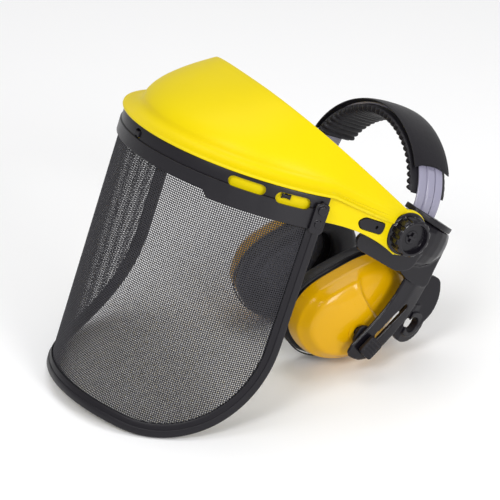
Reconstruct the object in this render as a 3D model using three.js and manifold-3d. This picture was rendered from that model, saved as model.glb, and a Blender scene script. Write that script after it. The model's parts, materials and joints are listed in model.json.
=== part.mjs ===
// A face shield with ear muffs: a yellow brow guard carries a wire mesh visor, turns on two clamp
// knobs, and hangs on the arms of a sprung headband that also carry two yellow ear cups.
//
// Millimetres, +Z up, the wearer faces -Y, +X is the wearer's left. The object rests on a table at
// z = 0, on the visor's lower corners and the ear cups, with the centre of its box over the origin.
import * as THREE from 'three';
import { mergeVertices } from 'three/addons/utils/BufferGeometryUtils.js';
import Module from 'manifold-3d';

const wasm = await Module();
wasm.setup();

const GAP = 0.3;

// ---- Where the three frames stand ------------------------------------------------------------
// The visor frame has its origin in the middle of the visor's oval plan, at the carrier's foot.
const REST = { y: 18.903, z: 153.465 };
const VISOR_TILT = 20;
const HEADSET = { y: 100.3, z: -25.6 };
const ARM_LEAN = 33;
const BAND_LEAN = 25;

// ---- Visor -----------------------------------------------------------------------------------
const PLAN = { halfWidth: 110.9, halfDepth: 116.7, tailCurve: 0.00177 };
const VISOR = { halfLength: 161.7, drop: 193.2, top: 8, cornerRadius: 94.1, thickness: 0.8 };
const TRIM = { depth: 8.8, lip: 1.8, half: 2.8, groove: 1.15, top: -5.2 };
const CARRIER = {
  outer: 2.0, inner: -1.0, top: 20.8, step: 11.6, flangeOuter: 2.9, flangeInner: 1.0,
  footFront: 1, footSide: -4.5, stepStart: 70, stepEnd: 78, halfLength: 163.5,
};
const SLOTS = [
  { s: 101.5, z: 14.4, length: 28.5, height: 7.8 },
  { s: 136.5, z: 13, length: 27, height: 8.6 },
];
const FRONT_HOLE = { z: 15, width: 9, height: 7.4 };
const THROUGH_CARRIER = { from: -3, to: 5 };
const STUD = { shank: 1.6, washer: 3.2, washerThick: 1.4, behind: 2, waist: 0.15, waistHeight: 0.3 };
const STUDS = [
  { name: 'carrier_stud_left', s: 131, z: 14.4, width: 7, height: 4.2, head: 0.6 },
  { name: 'carrier_stud_right', s: -131, z: 14.4, width: 7, height: 4.2, head: 0.6 },
  { name: 'front_clip', s: 0, z: FRONT_HOLE.z, width: 6.4, height: 4.8, head: 3.4 },
];
const CLIP = {
  s: 158, z: 5, width: 11, height: 23, corner: 3, inner: 3.4, outer: 5.9,
  heads: [{ radius: 3.6, rise: 6.6, top: 8 }, { radius: 3, rise: -4, top: 7.2 }],
  pin: 1.5, pinRise: 11, pinFoot: -0.8,
};

// ---- Brow guard ------------------------------------------------------------------------------
const SHELL = 2.2;
const SHELL_CURVE = { rootRise: 5, bend: 0.6, start: 0.2, reach: 0.46, drop: 0.4, rearFrom: -40 };
const REAR_EDGE = { halfWidth: 100.6, footY: 71.4, footZ: 13.7, topY: -45.5, topZ: 74, power: 2.78 };
const BRIM = { front: 3.6, rear: -0.6, rootFront: -9.5, rootRear: -1.8, z: 23.6, rearZ: 3.5, fallFrom: -12 };
const WALL = {
  outer: -1.6, inner: -3.9, foot: 1.5, footFrom: -15, footCurve: 0.0031, rearY: 66, rearRise: 3.6,
};
const LATCH = {
  y: 31, z: 3.4, length: 29, height: 10, slope: -9, corner: 3.4, point: 0.32,
  slotFrom: -12, slotTo: 8, gap: 0.5, face: -0.8, back: -6.4, flange: 2, hole: 1.4, holeY: 6, holeZ: -1,
};

// ---- Knobs -----------------------------------------------------------------------------------
const PIVOT = { y: 69.5, z: -1 };
const OUTSIDE = 130;
const RING = { radius: 18, inner: 97.6, outer: 101.4, bore: 3.3, seatGap: 1.5 };
const KNOB = {
  inner: 101.8, outer: 114, radius: 15.2, flange: 17, ribs: 12, ribDepth: 1.2, recess: 11.6, recessDepth: 4.5,
  flangeThick: 2.2, chamfer: 1.4, crossLength: 11, crossWidth: 3.2, crossDepth: 2.4,
};
const BOLT = { radius: 2.7, headRadius: 5.5, headInner: 82.2, headOuter: 85.8, tip: 107 };

// ---- Arms, in the headset frame: x outward, y to the back, z up along the arm -----------------
const BODY = {
  inner: 67, outer: 82, corner: 5, front: -17, rear: 26,
  below: [[31, -20], [32, -38], [34, -54], [12, -54], [0, -49], [-16, -40]],
};
const DOME = { x: 77, y: 8, z: -20, rx: 14, ry: 24, rz: 24, from: 72 };
const COLLAR = { inner: 65, outer: 92, front: -19, rear: 28, thick: 4.5, slope: -5.6, topZ: -1.6, middleY: 8 };
// The strap over the ear cup: stations from the body down to the round lower end.
const STRAP = { inner: 76.2, edge: 79, ridge: 82, chamfer: 1.5, ridgeShare: 0.42 };
const STRAP_STATIONS = [
  { z: -42, front: 12.5, rear: 36 }, { z: -54, front: 12.5, rear: 36 }, { z: -68, front: 12, rear: 36 },
  { z: -82, front: 10, rear: 35 }, { z: -96, front: 6, rear: 31.5 }, { z: -108, front: 1.5, rear: 27.5 },
  { z: -118, front: -2, rear: 23.5 }, { z: -124, front: -2, rear: 18.5 }, { z: -127.5, front: 1, rear: 12 },
];
const ARM_SLOT = { topY: 25.5, topZ: -74, endY: 10.5, endZ: -118, width: 4.4 };
const BRACKET = {
  inner: 86.2, outer: 90, boss: 9, bossOuter: 97.2, bore: 3.1, disc: 14, corner: 6,
  blade: [[6, -12], [4, -44], [-8, -50], [-54, -46], [-60, -38], [-40, -12], [-22, -6]],
  web: { inner: 76, y: -5, z: -26, length: 18, height: 26 },
};
const LUG = {
  inner: 70.8, outer: 75, y: 43, z: -85.5, radius: 16.8, turn: 16, rim: 0.4, step: 2.4, stepShare: 0.66,
  eyeShare: 0.4, corner: 6,
  blade: [[27, -58], [36.5, -57], [37.5, -44], [49, -43], [57, -56], [59, -70], [50, -96], [34, -86],
    [27, -76]],
};
const SLIDER = {
  inner: 72.8, outer: STRAP.inner - GAP, tabInner: 82.4, tabOuter: 86, fromEnd: 4.5, ribLength: 9, ribGap: 0.6,
  plate: [[0, -101], [12, -100], [19, -107], [19, -119], [6, -121], [-1, -114]], plateCorner: 4,
  tab: [[-8, -8], [8, -8], [8, 6], [-8, 6]], tabCorner: 3,
  ridges: [-4.5, -1.5, 1.5, 4.5], ridgeHeight: 1.6, ridgeWidth: 1.4, ridgeLength: 10,
};

// ---- Ear cups --------------------------------------------------------------------------------
// The cup's outline, as [z, y]: round below, with a long flat stretch on its upper front.
const CUP_OUTLINE = [
  [50, 22], [42, 0], [23, -20], [-7, -40], [-34, -37], [-48, -13], [-46, 10], [-34, 31], [-7, 44], [32, 45],
];
const CUP = { rim: 44, face: 70, wall: 2.5, y: -2.5, z: -94.4, radius: 42, floor: 3.6, sides: 28 };
// The cup's side and face: the share of its depth, and the scale of its outline there.
const CUP_PROFILE = [
  [0, 1], [0.12, 0.995], [0.35, 0.95], [0.58, 0.87], [0.78, 0.75], [0.91, 0.56], [0.98, 0.33], [1.01, 0.1],
];
const RELIEF = { y: -17, z: -65, curve: 0.038, fade: 7, depth: 3.4, from: 0.5, to: 0.95 };
const BALL = {
  x: 68.3, y: 5, z: -108, radius: 4, clearance: 0.45, neck: 2.4, mouthGap: 0.9,
  boss: 8.5, bossDepth: 9, bossTop: 0.4,
};
const CUSHION = { inner: 24.8, outer: 40.6, hole: 0.6, scale: 1.07, drop: 0.81, square: 0.62, sides: 10 };
const BACK_PLATE = { inner: 40.9, outer: 43.7, scale: 0.965, hole: 0.62 };
const FOAM = { inner: 46, outer: 50, scale: 0.8 };

// ---- Headband, in the band frame: x outward, y to the back, z up along the band ---------------
const ARCH = { halfWidth: 76, height: 58.6, power: 1.9 };
const BAND = { top: 1.9, thick: 1.8, width: 24, legDepth: 28, ridge: 1.0, ridgeWidth: 7 };
const COVER = { thick: 1.6, width: 35, leftEnd: 34, rightEnd: 12, crown: 1.2, edge: 2, shoulder: 3 };
const PAD = { thick: 8, width: 37, leftEnd: 12, rightEnd: 10, edge: 2, round: 2.5, crown: 5 };
const POCKET = { inner: 70.9, outer: 76.9, width: 25.2, depth: 35, above: 20 };

// ---- Materials -------------------------------------------------------------------------------
const yellow = () => new THREE.MeshStandardMaterial({ color: 0xf8e31a, roughness: 0.42, metalness: 0 });
const amber = () => new THREE.MeshStandardMaterial({ color: 0xe2ab06, roughness: 0.25, metalness: 0 });
const black = () => new THREE.MeshStandardMaterial({ color: 0x26242a, roughness: 0.45, metalness: 0 });
const mattBlack = () => new THREE.MeshStandardMaterial({ color: 0x2a282d, roughness: 0.75, metalness: 0 });
const wire = () => new THREE.MeshStandardMaterial({ color: 0x3a3940, roughness: 0.5, metalness: 0.6 });
const grey = () => new THREE.MeshStandardMaterial({ color: 0x9997ac, roughness: 0.35, metalness: 0.1 });
const foamGrey = () => new THREE.MeshStandardMaterial({ color: 0x6d6c74, roughness: 0.95, metalness: 0 });

// ---- Solids ----------------------------------------------------------------------------------
const rad = THREE.MathUtils.degToRad;
const { lerp, smoothstep, clamp } = THREE.MathUtils;

function bare(geometry) {
  const copy = geometry.clone();
  copy.deleteAttribute('normal');
  copy.deleteAttribute('uv');
  return mergeVertices(copy, 1e-4);
}

function toSolid(geometry) {
  const merged = bare(geometry);
  return new wasm.Manifold(new wasm.Mesh({
    numProp: 3,
    vertProperties: Float32Array.from(merged.attributes.position.array),
    triVerts: Uint32Array.from(merged.index.array),
  }));
}

function toGeometry(solid) {
  const mesh = solid.getMesh();
  const geometry = new THREE.BufferGeometry();
  geometry.setAttribute('position', new THREE.BufferAttribute(Float32Array.from(mesh.vertProperties), 3));
  geometry.setIndex(new THREE.BufferAttribute(Uint32Array.from(mesh.triVerts), 1));
  geometry.computeVertexNormals();
  return geometry;
}

const join = (...geometries) => toGeometry(
  geometries.map(toSolid).reduce((all, next) => all.add(next)));
const cut = (geometry, ...tools) => toGeometry(
  tools.map(toSolid).reduce((rest, tool) => rest.subtract(tool), toSolid(geometry)));
const common = (first, second) => toGeometry(toSolid(first).intersect(toSolid(second)));

function turnedInsideOut(geometry) {
  const index = geometry.index.array.slice();
  for (let i = 0; i < index.length; i += 3) [index[i + 1], index[i + 2]] = [index[i + 2], index[i + 1]];
  geometry.setIndex(new THREE.BufferAttribute(index, 1));
  return geometry;
}

function volume(geometry) {
  const { array } = geometry.attributes.position;
  const [a, b, c] = [new THREE.Vector3(), new THREE.Vector3(), new THREE.Vector3()];
  let sum = 0;
  const { array: index } = geometry.index;
  for (let i = 0; i < index.length; i += 3) {
    a.fromArray(array, 3 * index[i]);
    b.fromArray(array, 3 * index[i + 1]);
    c.fromArray(array, 3 * index[i + 2]);
    sum += a.dot(b.cross(c));
  }
  return sum / 6;
}

function fromFaces(points, faces) {
  const geometry = new THREE.BufferGeometry().setFromPoints(points);
  geometry.setIndex(new THREE.BufferAttribute(Uint32Array.from(faces.flat()), 1));
  const merged = bare(geometry);
  if (volume(merged) < 0) turnedInsideOut(merged);
  merged.computeVertexNormals();
  return merged;
}

// A closed skin through rows of points: each row is a loop, and the first and last are capped.
function loft(rows, outline = rows[0].map((_, k) => new THREE.Vector2(
  Math.cos((2 * Math.PI * k) / rows[0].length), Math.sin((2 * Math.PI * k) / rows[0].length)))) {
  const count = rows[0].length;
  const faces = [];
  for (let i = 0; i + 1 < rows.length; i++) {
    for (let k = 0; k < count; k++) {
      const [a, b] = [i * count + k, i * count + ((k + 1) % count)];
      faces.push([a, b, a + count], [b, b + count, a + count]);
    }
  }
  const last = (rows.length - 1) * count;
  const clockwise = THREE.ShapeUtils.isClockWise(outline);
  for (const face of THREE.ShapeUtils.triangulateShape(outline, [])) {
    const [a, b, c] = clockwise ? face.toReversed() : face;
    faces.push([a, c, b], [last + a, last + b, last + c]);
  }
  return fromFaces(rows.flat(), faces);
}

// A sheet between two grids of points, closed along its four edges.
function sheet(outer, inner) {
  const [rows, columns] = [outer.length, outer[0].length];
  const at = (side, i, k) => side * rows * columns + i * columns + k;
  const faces = [];
  const quad = (a, b, c, d) => faces.push([a, b, c], [a, c, d]);
  for (let i = 0; i + 1 < rows; i++) {
    for (let k = 0; k + 1 < columns; k++) {
      quad(at(0, i, k), at(0, i, k + 1), at(0, i + 1, k + 1), at(0, i + 1, k));
      quad(at(1, i, k), at(1, i + 1, k), at(1, i + 1, k + 1), at(1, i, k + 1));
    }
    quad(at(0, i, 0), at(0, i + 1, 0), at(1, i + 1, 0), at(1, i, 0));
    const end = columns - 1;
    quad(at(0, i, end), at(1, i, end), at(1, i + 1, end), at(0, i + 1, end));
  }
  for (let k = 0; k + 1 < columns; k++) {
    quad(at(0, 0, k), at(1, 0, k), at(1, 0, k + 1), at(0, 0, k + 1));
    const end = rows - 1;
    quad(at(0, end, k), at(0, end, k + 1), at(1, end, k + 1), at(1, end, k));
  }
  return fromFaces([...outer.flat(), ...inner.flat()], faces);
}

// An outline in the y-z plane made thick along x.
function plateX(shape, from, to, curveSegments = 8) {
  const geometry = new THREE.ExtrudeGeometry(shape, { depth: to - from, bevelEnabled: false, curveSegments });
  const axes = new THREE.Matrix4().makeBasis(
    new THREE.Vector3(0, 1, 0), new THREE.Vector3(0, 0, 1), new THREE.Vector3(1, 0, 0));
  return geometry.applyMatrix4(axes).translate(from, 0, 0);
}

const rodX = (radius, from, to, y = 0, z = 0, sides = 24) => new THREE.CylinderGeometry(
  radius, radius, to - from, sides).rotateZ(-Math.PI / 2).translate((from + to) / 2, y, z);

const box = (x, y, z, cx = 0, cy = 0, cz = 0) => new THREE.BoxGeometry(x, y, z).translate(cx, cy, cz);

// A slot with round ends, its long side along the first axis of the outline plane.
function roundedSlot(length, height) {
  const [half, radius] = [length / 2 - height / 2, height / 2];
  const shape = new THREE.Shape();
  shape.moveTo(-half, -radius);
  shape.lineTo(half, -radius);
  shape.absarc(half, 0, radius, -Math.PI / 2, Math.PI / 2, false);
  shape.lineTo(-half, radius);
  shape.absarc(-half, 0, radius, Math.PI / 2, 1.5 * Math.PI, false);
  return shape;
}

const discShape = (radius) => new THREE.Shape().absarc(0, 0, radius, 0, 2 * Math.PI);

function outlineShape(points) {
  return new THREE.Shape(points.map(([a, b]) => new THREE.Vector2(a, b)));
}

// Each corner of a polygon is cut back and rounded.
function softOutline(corners, radius, steps = 3) {
  const points = [];
  corners.forEach((corner, i) => {
    const here = new THREE.Vector2(...corner);
    const before = new THREE.Vector2(...corners.at(i - 1));
    const after = new THREE.Vector2(...corners[(i + 1) % corners.length]);
    const reach = Math.min(radius, here.distanceTo(before) * 0.45, here.distanceTo(after) * 0.45);
    const start = here.clone().lerp(before, reach / here.distanceTo(before));
    const end = here.clone().lerp(after, reach / here.distanceTo(after));
    points.push(...new THREE.QuadraticBezierCurve(start, here, end).getPoints(steps));
  });
  return new THREE.Shape(points);
}

function mirrored(geometry) {
  return turnedInsideOut(bare(geometry).applyMatrix4(new THREE.Matrix4().makeScale(-1, 1, 1)));
}

// ---- The plan of the visor and brow guard ------------------------------------------------------
// Half an oval at the front runs on in two gently closing tails past the wearer's temples.
const plan = (() => {
  const points = [];
  const [arcSteps, tailSteps, tailEnd] = [180, 60, 84];
  for (let i = 0; i <= arcSteps; i++) {
    const angle = (Math.PI / 2) * (i / arcSteps);
    points.push([PLAN.halfWidth * Math.sin(angle), -PLAN.halfDepth * Math.cos(angle)]);
  }
  for (let i = 1; i <= tailSteps; i++) {
    const y = (tailEnd * i) / tailSteps;
    points.push([PLAN.halfWidth - PLAN.tailCurve * y * y, y]);
  }
  let run = 0;
  return points.map(([x, y], i) => {
    if (i) run += Math.hypot(x - points[i - 1][0], y - points[i - 1][1]);
    return { s: run, x, y };
  });
})();

// A point at the signed distance s along the plan, moved outward by an offset.
function onPlan(s, offset, z) {
  const distance = Math.min(Math.abs(s), plan.at(-1).s - 1e-6);
  const next = Math.max(1, plan.findIndex((point) => point.s > distance));
  const [a, b] = [plan[next - 1], plan[next]];
  const t = (distance - a.s) / (b.s - a.s);
  const before = plan[Math.max(0, next - 2)];
  const after = plan[Math.min(plan.length - 1, next + 1)];
  const along = new THREE.Vector2(after.x - before.x, after.y - before.y).normalize();
  const side = Math.sign(s) || 1;
  const outward = distance < 1e-9 ? new THREE.Vector2(0, -1) : new THREE.Vector2(along.y, -along.x);
  return new THREE.Vector3(
    side * (lerp(a.x, b.x, t) + outward.x * offset), lerp(a.y, b.y, t) + outward.y * offset, z);
}

const distanceAt = (y) => plan.find((point) => point.y >= y).s;
const spread = (from, to, count) => Array.from({ length: count + 1 }, (_, i) => lerp(from, to, i / count));

// A tool or piece drawn flat, x along the plan and y up, set upright on the plan at s.
function uprightAt(shape, s, z, from, to) {
  const flat = new THREE.ExtrudeGeometry(shape, { depth: to - from, bevelEnabled: false, curveSegments: 4 });
  const outward = onPlan(s, 1, 0).sub(onPlan(s, 0, 0));
  const along = new THREE.Vector3(0, 0, 1).cross(outward);
  const up = new THREE.Vector3(0, 0, 1);
  flat.translate(0, 0, from).applyMatrix4(new THREE.Matrix4().makeBasis(along, up, outward));
  const foot = onPlan(s, 0, z);
  return flat.translate(foot.x, foot.y, foot.z);
}

// ---- Visor parts -------------------------------------------------------------------------------
// The visor's foot: straight across the front, a round corner each side.
function visorFoot(s) {
  const past = Math.abs(s) - (VISOR.halfLength - VISOR.cornerRadius);
  if (past <= 0) return -VISOR.drop;
  const reach = Math.min(past, VISOR.cornerRadius);
  return -VISOR.drop + VISOR.cornerRadius - Math.sqrt(VISOR.cornerRadius ** 2 - reach ** 2);
}

function visorMesh() {
  const across = spread(-1, 1, 30).map((t) => VISOR.halfLength * Math.sin((t * Math.PI) / 2));
  const column = (s, offset) => spread(VISOR.top, visorFoot(s), 6).map((z) => onPlan(s, offset, z));
  const skin = (offset) => across.map((s) => column(s, offset));
  return sheet(skin(VISOR.thickness / 2), skin(-VISOR.thickness / 2));
}

// The visor's edge as points on the flat sheet, each with the direction into the sheet.
function edgePath() {
  const { halfLength, cornerRadius, drop } = VISOR;
  const [cornerS, cornerZ] = [halfLength - cornerRadius, -drop + cornerRadius];
  const half = spread(TRIM.top, cornerZ, 3).slice(0, -1).map((z) => ({ s: halfLength, z, ds: -1, dz: 0 }));
  for (const angle of spread(0, Math.PI / 2, 11)) {
    const [ds, dz] = [-Math.cos(angle), Math.sin(angle)];
    half.push({ s: cornerS - cornerRadius * ds, z: cornerZ - cornerRadius * dz, ds, dz });
  }
  const foot = spread(cornerS, -cornerS, 9).slice(1, -1).map((s) => ({ s, z: -drop, ds: 0, dz: 1 }));
  const otherHalf = half.map(({ s, z, ds, dz }) => ({ s: -s, z, ds: -ds, dz })).reverse();
  return [...half, ...foot, ...otherHalf];
}

// A channel that grips the visor's edge: a U in section, open into the sheet.
function edgeTrim() {
  const { depth, lip, half, groove } = TRIM;
  const section = [
    [-lip, -half + 1], [-lip + 1, -half], [depth, -half + 0.6], [depth, -groove], [-GAP, -groove],
    [-GAP, groove], [depth, groove], [depth, half - 0.6], [-lip + 1, half], [-lip, half - 1],
  ];
  const rows = edgePath().map(({ s, z, ds, dz }) => section.map(
    ([inward, offset]) => onPlan(s + inward * ds, offset, z + inward * dz)));
  return loft(rows, section.map(([a, b]) => new THREE.Vector2(a, b)));
}

function carrierFoot(s) {
  return lerp(CARRIER.footFront, CARRIER.footSide, smoothstep(Math.abs(s), CARRIER.stepStart, CARRIER.stepEnd));
}

// A waisted plate on a shank that a washer holds from behind the brow guard's wall.
function stud({ s, z, width, height, head }) {
  const [end, waist] = [width / 2, width * STUD.waist];
  const [top, waistTop] = [height / 2, height * STUD.waistHeight];
  const plate = outlineShape([
    [-end, -top], [-waist, -waistTop], [waist, -waistTop], [end, -top],
    [end, top], [waist, waistTop], [-waist, waistTop], [-end, top],
  ]);
  const back = WALL.inner - 2 * GAP;
  return join(
    uprightAt(plate, s, z, WALL.outer + 2 * GAP, head),
    uprightAt(discShape(STUD.shank), s, z, back - STUD.washerThick, head - 0.5),
    uprightAt(discShape(STUD.washer), s, z, WALL.inner - STUD.behind - 2 * GAP, back));
}

function visorCarrier() {
  const { outer, inner, top, step, flangeOuter, flangeInner, halfLength, stepStart, stepEnd } = CARRIER;
  const stations = [...spread(-halfLength, -stepEnd, 9), ...spread(-stepStart, stepStart, 12),
    ...spread(stepEnd, halfLength, 9)];
  const sectionAt = (foot) => [
    [outer - 0.5, top], [outer, top - 0.5], [outer, step], [flangeOuter, step - 0.7], [flangeOuter, foot],
    [flangeInner, foot], [flangeInner, step + 0.2], [inner, step + 0.8], [inner, top],
  ];
  const rows = stations.map((s) => sectionAt(carrierFoot(s)).map(([offset, z]) => onPlan(s, offset, z)));
  const strip = loft(rows, sectionAt(0).map(([a, b]) => new THREE.Vector2(a, b)));
  const { from, to } = THROUGH_CARRIER;
  const tools = [uprightAt(roundedSlot(FRONT_HOLE.width, FRONT_HOLE.height), 0, FRONT_HOLE.z, from, to)];
  for (const side of [-1, 1]) {
    for (const slot of SLOTS) {
      tools.push(uprightAt(roundedSlot(slot.length, slot.height), side * slot.s, slot.z, from, to));
    }
    tools.push(uprightAt(discShape(CLIP.pin + GAP), side * CLIP.s, CLIP.z + CLIP.pinRise, from, to));
  }
  return cut(strip, ...tools);
}

// The clip at each end of the carrier: a plate with two round heads and a pin into the carrier.
function trimClip(side) {
  const { s, z, width, height, corner, inner, outer, heads, pin, pinRise, pinFoot } = CLIP;
  const [across, up] = [width / 2, height / 2];
  const corners = [[-across, -up], [across, -up], [across, up], [-across, up]];
  const rivets = heads.map(({ radius, rise, top }) => uprightAt(
    discShape(radius), side * s, z + rise, outer - 0.5, top));
  return join(
    uprightAt(softOutline(corners, corner), side * s, z, inner, outer), ...rivets,
    uprightAt(discShape(pin), side * s, z + pinRise, pinFoot, outer - 0.5));
}

// ---- Brow guard --------------------------------------------------------------------------------
const rearEdge = (() => {
  const { halfWidth, footY, footZ, topY, topZ, power } = REAR_EDGE;
  const points = spread(0, Math.PI / 2, 200).map((angle) => {
    const rise = Math.cos(angle) ** (2 / power);
    return new THREE.Vector3(halfWidth * Math.sin(angle) ** (2 / power),
      lerp(footY, topY, rise), lerp(footZ, topZ, rise));
  });
  return new THREE.CatmullRomCurve3(points);
})();

function rearEdgeAt(share) {
  const point = rearEdge.getPointAt(Math.min(Math.abs(share), 1));
  return new THREE.Vector3(Math.sign(share) * Math.abs(point.x), point.y, point.z);
}

const rearShare = (y) => smoothstep(y, SHELL_CURVE.rearFrom, PIVOT.y);
const brimZ = (y) => lerp(BRIM.z, BRIM.rearZ, clamp((y - BRIM.fallFrom) / (PIVOT.y - BRIM.fallFrom), 0, 1));

// One rib of the shell, from the brim's edge up over the dome to the open rear edge.
function shellRib(share) {
  const s = share * distanceAt(PIVOT.y);
  const { y } = onPlan(s, 0, 0);
  const [rear, z] = [rearShare(y), brimZ(y)];
  const edge = onPlan(s, lerp(BRIM.front, BRIM.rear, rear), z);
  const rootOffset = lerp(BRIM.rootFront, BRIM.rootRear, rear);
  const { rootRise, bend, start, reach: reachShare, drop } = SHELL_CURVE;
  const root = onPlan(s, rootOffset, z + rootRise);
  const brim = new THREE.QuadraticBezierCurve3(edge, onPlan(s, rootOffset + bend, z + bend), root);
  const top = rearEdgeAt(share);
  const rise = top.z - root.z;
  const reach = new THREE.Vector3(root.x - top.x, root.y - top.y, 0);
  const dome = new THREE.CubicBezierCurve3(
    root, root.clone().add(new THREE.Vector3(0, 0, start * rise)),
    top.clone().addScaledVector(reach, reachShare).add(new THREE.Vector3(0, 0, -drop * rise)), top);
  return [...brim.getPoints(3), ...dome.getPoints(6).slice(1)];
}

// Moves a grid of points along its own normals.
function inset(grid, distance) {
  const [rows, columns] = [grid.length, grid[0].length];
  return grid.map((row, i) => row.map((point, k) => {
    const along = grid[Math.min(i + 1, rows - 1)][k].clone().sub(grid[Math.max(i - 1, 0)][k]);
    const up = row[Math.min(k + 1, columns - 1)].clone().sub(row[Math.max(k - 1, 0)]);
    return point.clone().addScaledVector(up.cross(along).normalize(), distance);
  }));
}

function wallFoot(y) {
  return WALL.foot - WALL.footCurve * Math.max(0, y - WALL.footFrom) ** 2;
}

function browWall() {
  const end = distanceAt(WALL.rearY);
  const stations = spread(-end, end, 28);
  const face = (offset) => stations.map((s) => {
    const { y } = onPlan(s, 0, 0);
    const head = brimZ(y) - 0.1 + WALL.rearRise * rearShare(y);
    return spread(wallFoot(y), head, 2).map((z) => onPlan(s, offset, z));
  });
  return sheet(face(WALL.outer), face(WALL.inner));
}

// A plate with a blunt point at its front; grow moves its edges outward.
function latchOutline(grow) {
  const [end, shoulder, top] = [LATCH.length / 2, LATCH.length * LATCH.point, LATCH.height / 2];
  return softOutline([
    [-end - grow, 0], [-shoulder - grow, -top - grow], [end + grow, -top - grow],
    [end + grow, top + grow], [-shoulder - grow, top + grow],
  ], LATCH.corner);
}

// An oblong plate parallel to the left side wall, from and to offsets off the plan.
function latchPlate(grow, from, to) {
  const inward = Math.atan(2 * PLAN.tailCurve * LATCH.y);
  return plateX(latchOutline(grow), from, to).rotateX(rad(LATCH.slope)).rotateZ(inward)
    .translate(onPlan(distanceAt(LATCH.y), 0, 0).x, LATCH.y, LATCH.z);
}

function browGuard() {
  const ribs = spread(-1, 1, 32).map(shellRib);
  const shell = sheet(ribs, inset(ribs, SHELL));
  const { y, z } = PIVOT;
  const ring = rodX(RING.radius, RING.inner, RING.outer, y, z, 32);
  const slot = latchPlate(0, LATCH.slotFrom, LATCH.slotTo);
  const seat = rodX(KNOB.flange + RING.seatGap, RING.outer, OUTSIDE, y, z, 28);
  const bore = rodX(RING.bore, -OUTSIDE, OUTSIDE, y, z, 16);
  const holes = STUDS.map((place) => uprightAt(
    discShape(STUD.shank + GAP), place.s, place.z, 2 * WALL.inner, THROUGH_CARRIER.to));
  return cut(join(shell, browWall(), ring, mirrored(ring)), slot, mirrored(slot), seat, mirrored(seat), bore,
    ...holes);
}

// The oblong insert pressed into each side wall: a plate in the slot, a flange behind it, a hole.
function latchInsert() {
  const { gap, face, back, flange, hole, holeY, holeZ, y, z } = LATCH;
  const body = join(latchPlate(-gap, back + gap, face), latchPlate(flange, back, WALL.inner - 2 * GAP));
  return cut(body, rodX(hole, BODY.outer, OUTSIDE, y + holeY, z + holeZ, 12));
}

// ---- Knobs -------------------------------------------------------------------------------------
function ribbedOutline() {
  const shape = new THREE.Shape();
  const step = (2 * Math.PI) / KNOB.ribs;
  const place = (radius, angle) => [radius * Math.cos(angle), radius * Math.sin(angle)];
  for (let i = 0; i < KNOB.ribs; i++) {
    const [tip, valley] = [KNOB.radius, KNOB.radius - KNOB.ribDepth];
    for (const [radius, share] of [[tip, 0], [tip, 0.5], [valley, 0.62], [valley, 0.88]]) {
      const [a, b] = place(radius, step * (i + share));
      if (i === 0 && share === 0) shape.moveTo(a, b);
      else shape.lineTo(a, b);
    }
  }
  return shape;
}

function knob() {
  const { inner, outer, radius, flange, flangeThick, chamfer, recess, recessDepth } = KNOB;
  const { crossLength, crossWidth, crossDepth } = KNOB;
  const floor = outer - recessDepth;
  const grip = join(
    plateX(ribbedOutline(), inner + 1, outer - chamfer),
    rodX(flange, inner, inner + flangeThick, 0, 0, 28),
    rodX(radius - chamfer, outer - 2 * chamfer, outer, 0, 0, 28));
  const hollow = rodX(recess, floor, OUTSIDE, 0, 0, 24);
  const bore = rodX(BOLT.radius + GAP, inner - 1, BOLT.tip + 1, 0, 0, 12);
  const crossMiddle = floor - GAP + crossDepth / 2;
  const cross = join(box(crossDepth, crossLength, crossWidth, crossMiddle),
    box(crossDepth, crossWidth, crossLength, crossMiddle));
  return cut(join(cut(grip, hollow), cross), bore);
}

function knobBolt() {
  return join(rodX(BOLT.radius, BOLT.headInner + 1, BOLT.tip, 0, 0, 12),
    rodX(BOLT.headRadius, BOLT.headInner, BOLT.headOuter, 0, 0, 6));
}

// ---- Arms --------------------------------------------------------------------------------------
const bandToArm = rad(BAND_LEAN - ARM_LEAN);
const inArmFrame = (geometry) => geometry.rotateX(-bandToArm);

// The pivot seen from the headset frame.
const pivotInArm = (() => {
  const acrossHead = new THREE.Vector3(1, 0, 0);
  const point = new THREE.Vector3(0, PIVOT.y, PIVOT.z).applyAxisAngle(acrossHead, -rad(VISOR_TILT));
  return point.sub(new THREE.Vector3(0, HEADSET.y, HEADSET.z)).applyAxisAngle(acrossHead, rad(ARM_LEAN));
})();

const collarLine = (y) => COLLAR.topZ + Math.tan(rad(COLLAR.slope)) * (y - COLLAR.middleY);

function armBody() {
  const under = COLLAR.thick + GAP;
  const { inner, outer, corner, front, rear, below } = BODY;
  const outline = softOutline(
    [[front, collarLine(front) - under], [rear, collarLine(rear) - under], ...below], corner);
  return plateX(outline, inner, outer);
}

function armDome() {
  const { x, y, z, rx, ry, rz, from } = DOME;
  const ball = new THREE.SphereGeometry(1, 16, 10).scale(rx, ry, rz).translate(x, y, z);
  return common(ball, box(40, 90, 90, from + 20, y, z - 2));
}

function armStrap() {
  const { inner, edge, ridge, chamfer, ridgeShare } = STRAP;
  const [first, last] = [STRAP_STATIONS[0].z, STRAP_STATIONS.at(-2).z];
  const rows = STRAP_STATIONS.map(({ z, front, rear }) => {
    const middle = lerp(front, rear, ridgeShare);
    const crest = lerp(ridge, edge + 0.8, smoothstep(-z, -first, -last));
    return [[front, inner], [rear, inner], [rear, edge - 0.6], [rear - chamfer, edge],
      [middle + 1, crest], [middle - 1, crest], [front + chamfer, edge], [front, edge - 0.6],
    ].map(([y, x]) => new THREE.Vector3(x, y, z));
  });
  return loft(rows, rows[0].map((point) => new THREE.Vector2(point.y, point.x)));
}

function armSlot() {
  const { topY, topZ, endY, endZ, width } = ARM_SLOT;
  const [dy, dz] = [endY - topY, endZ - topZ];
  const slot = roundedSlot(Math.hypot(dy, dz) + width, width);
  return plateX(slot, 60, 100).rotateX(Math.atan2(dz, dy)).translate(0, (topY + endY) / 2, (topZ + endZ) / 2);
}

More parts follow.
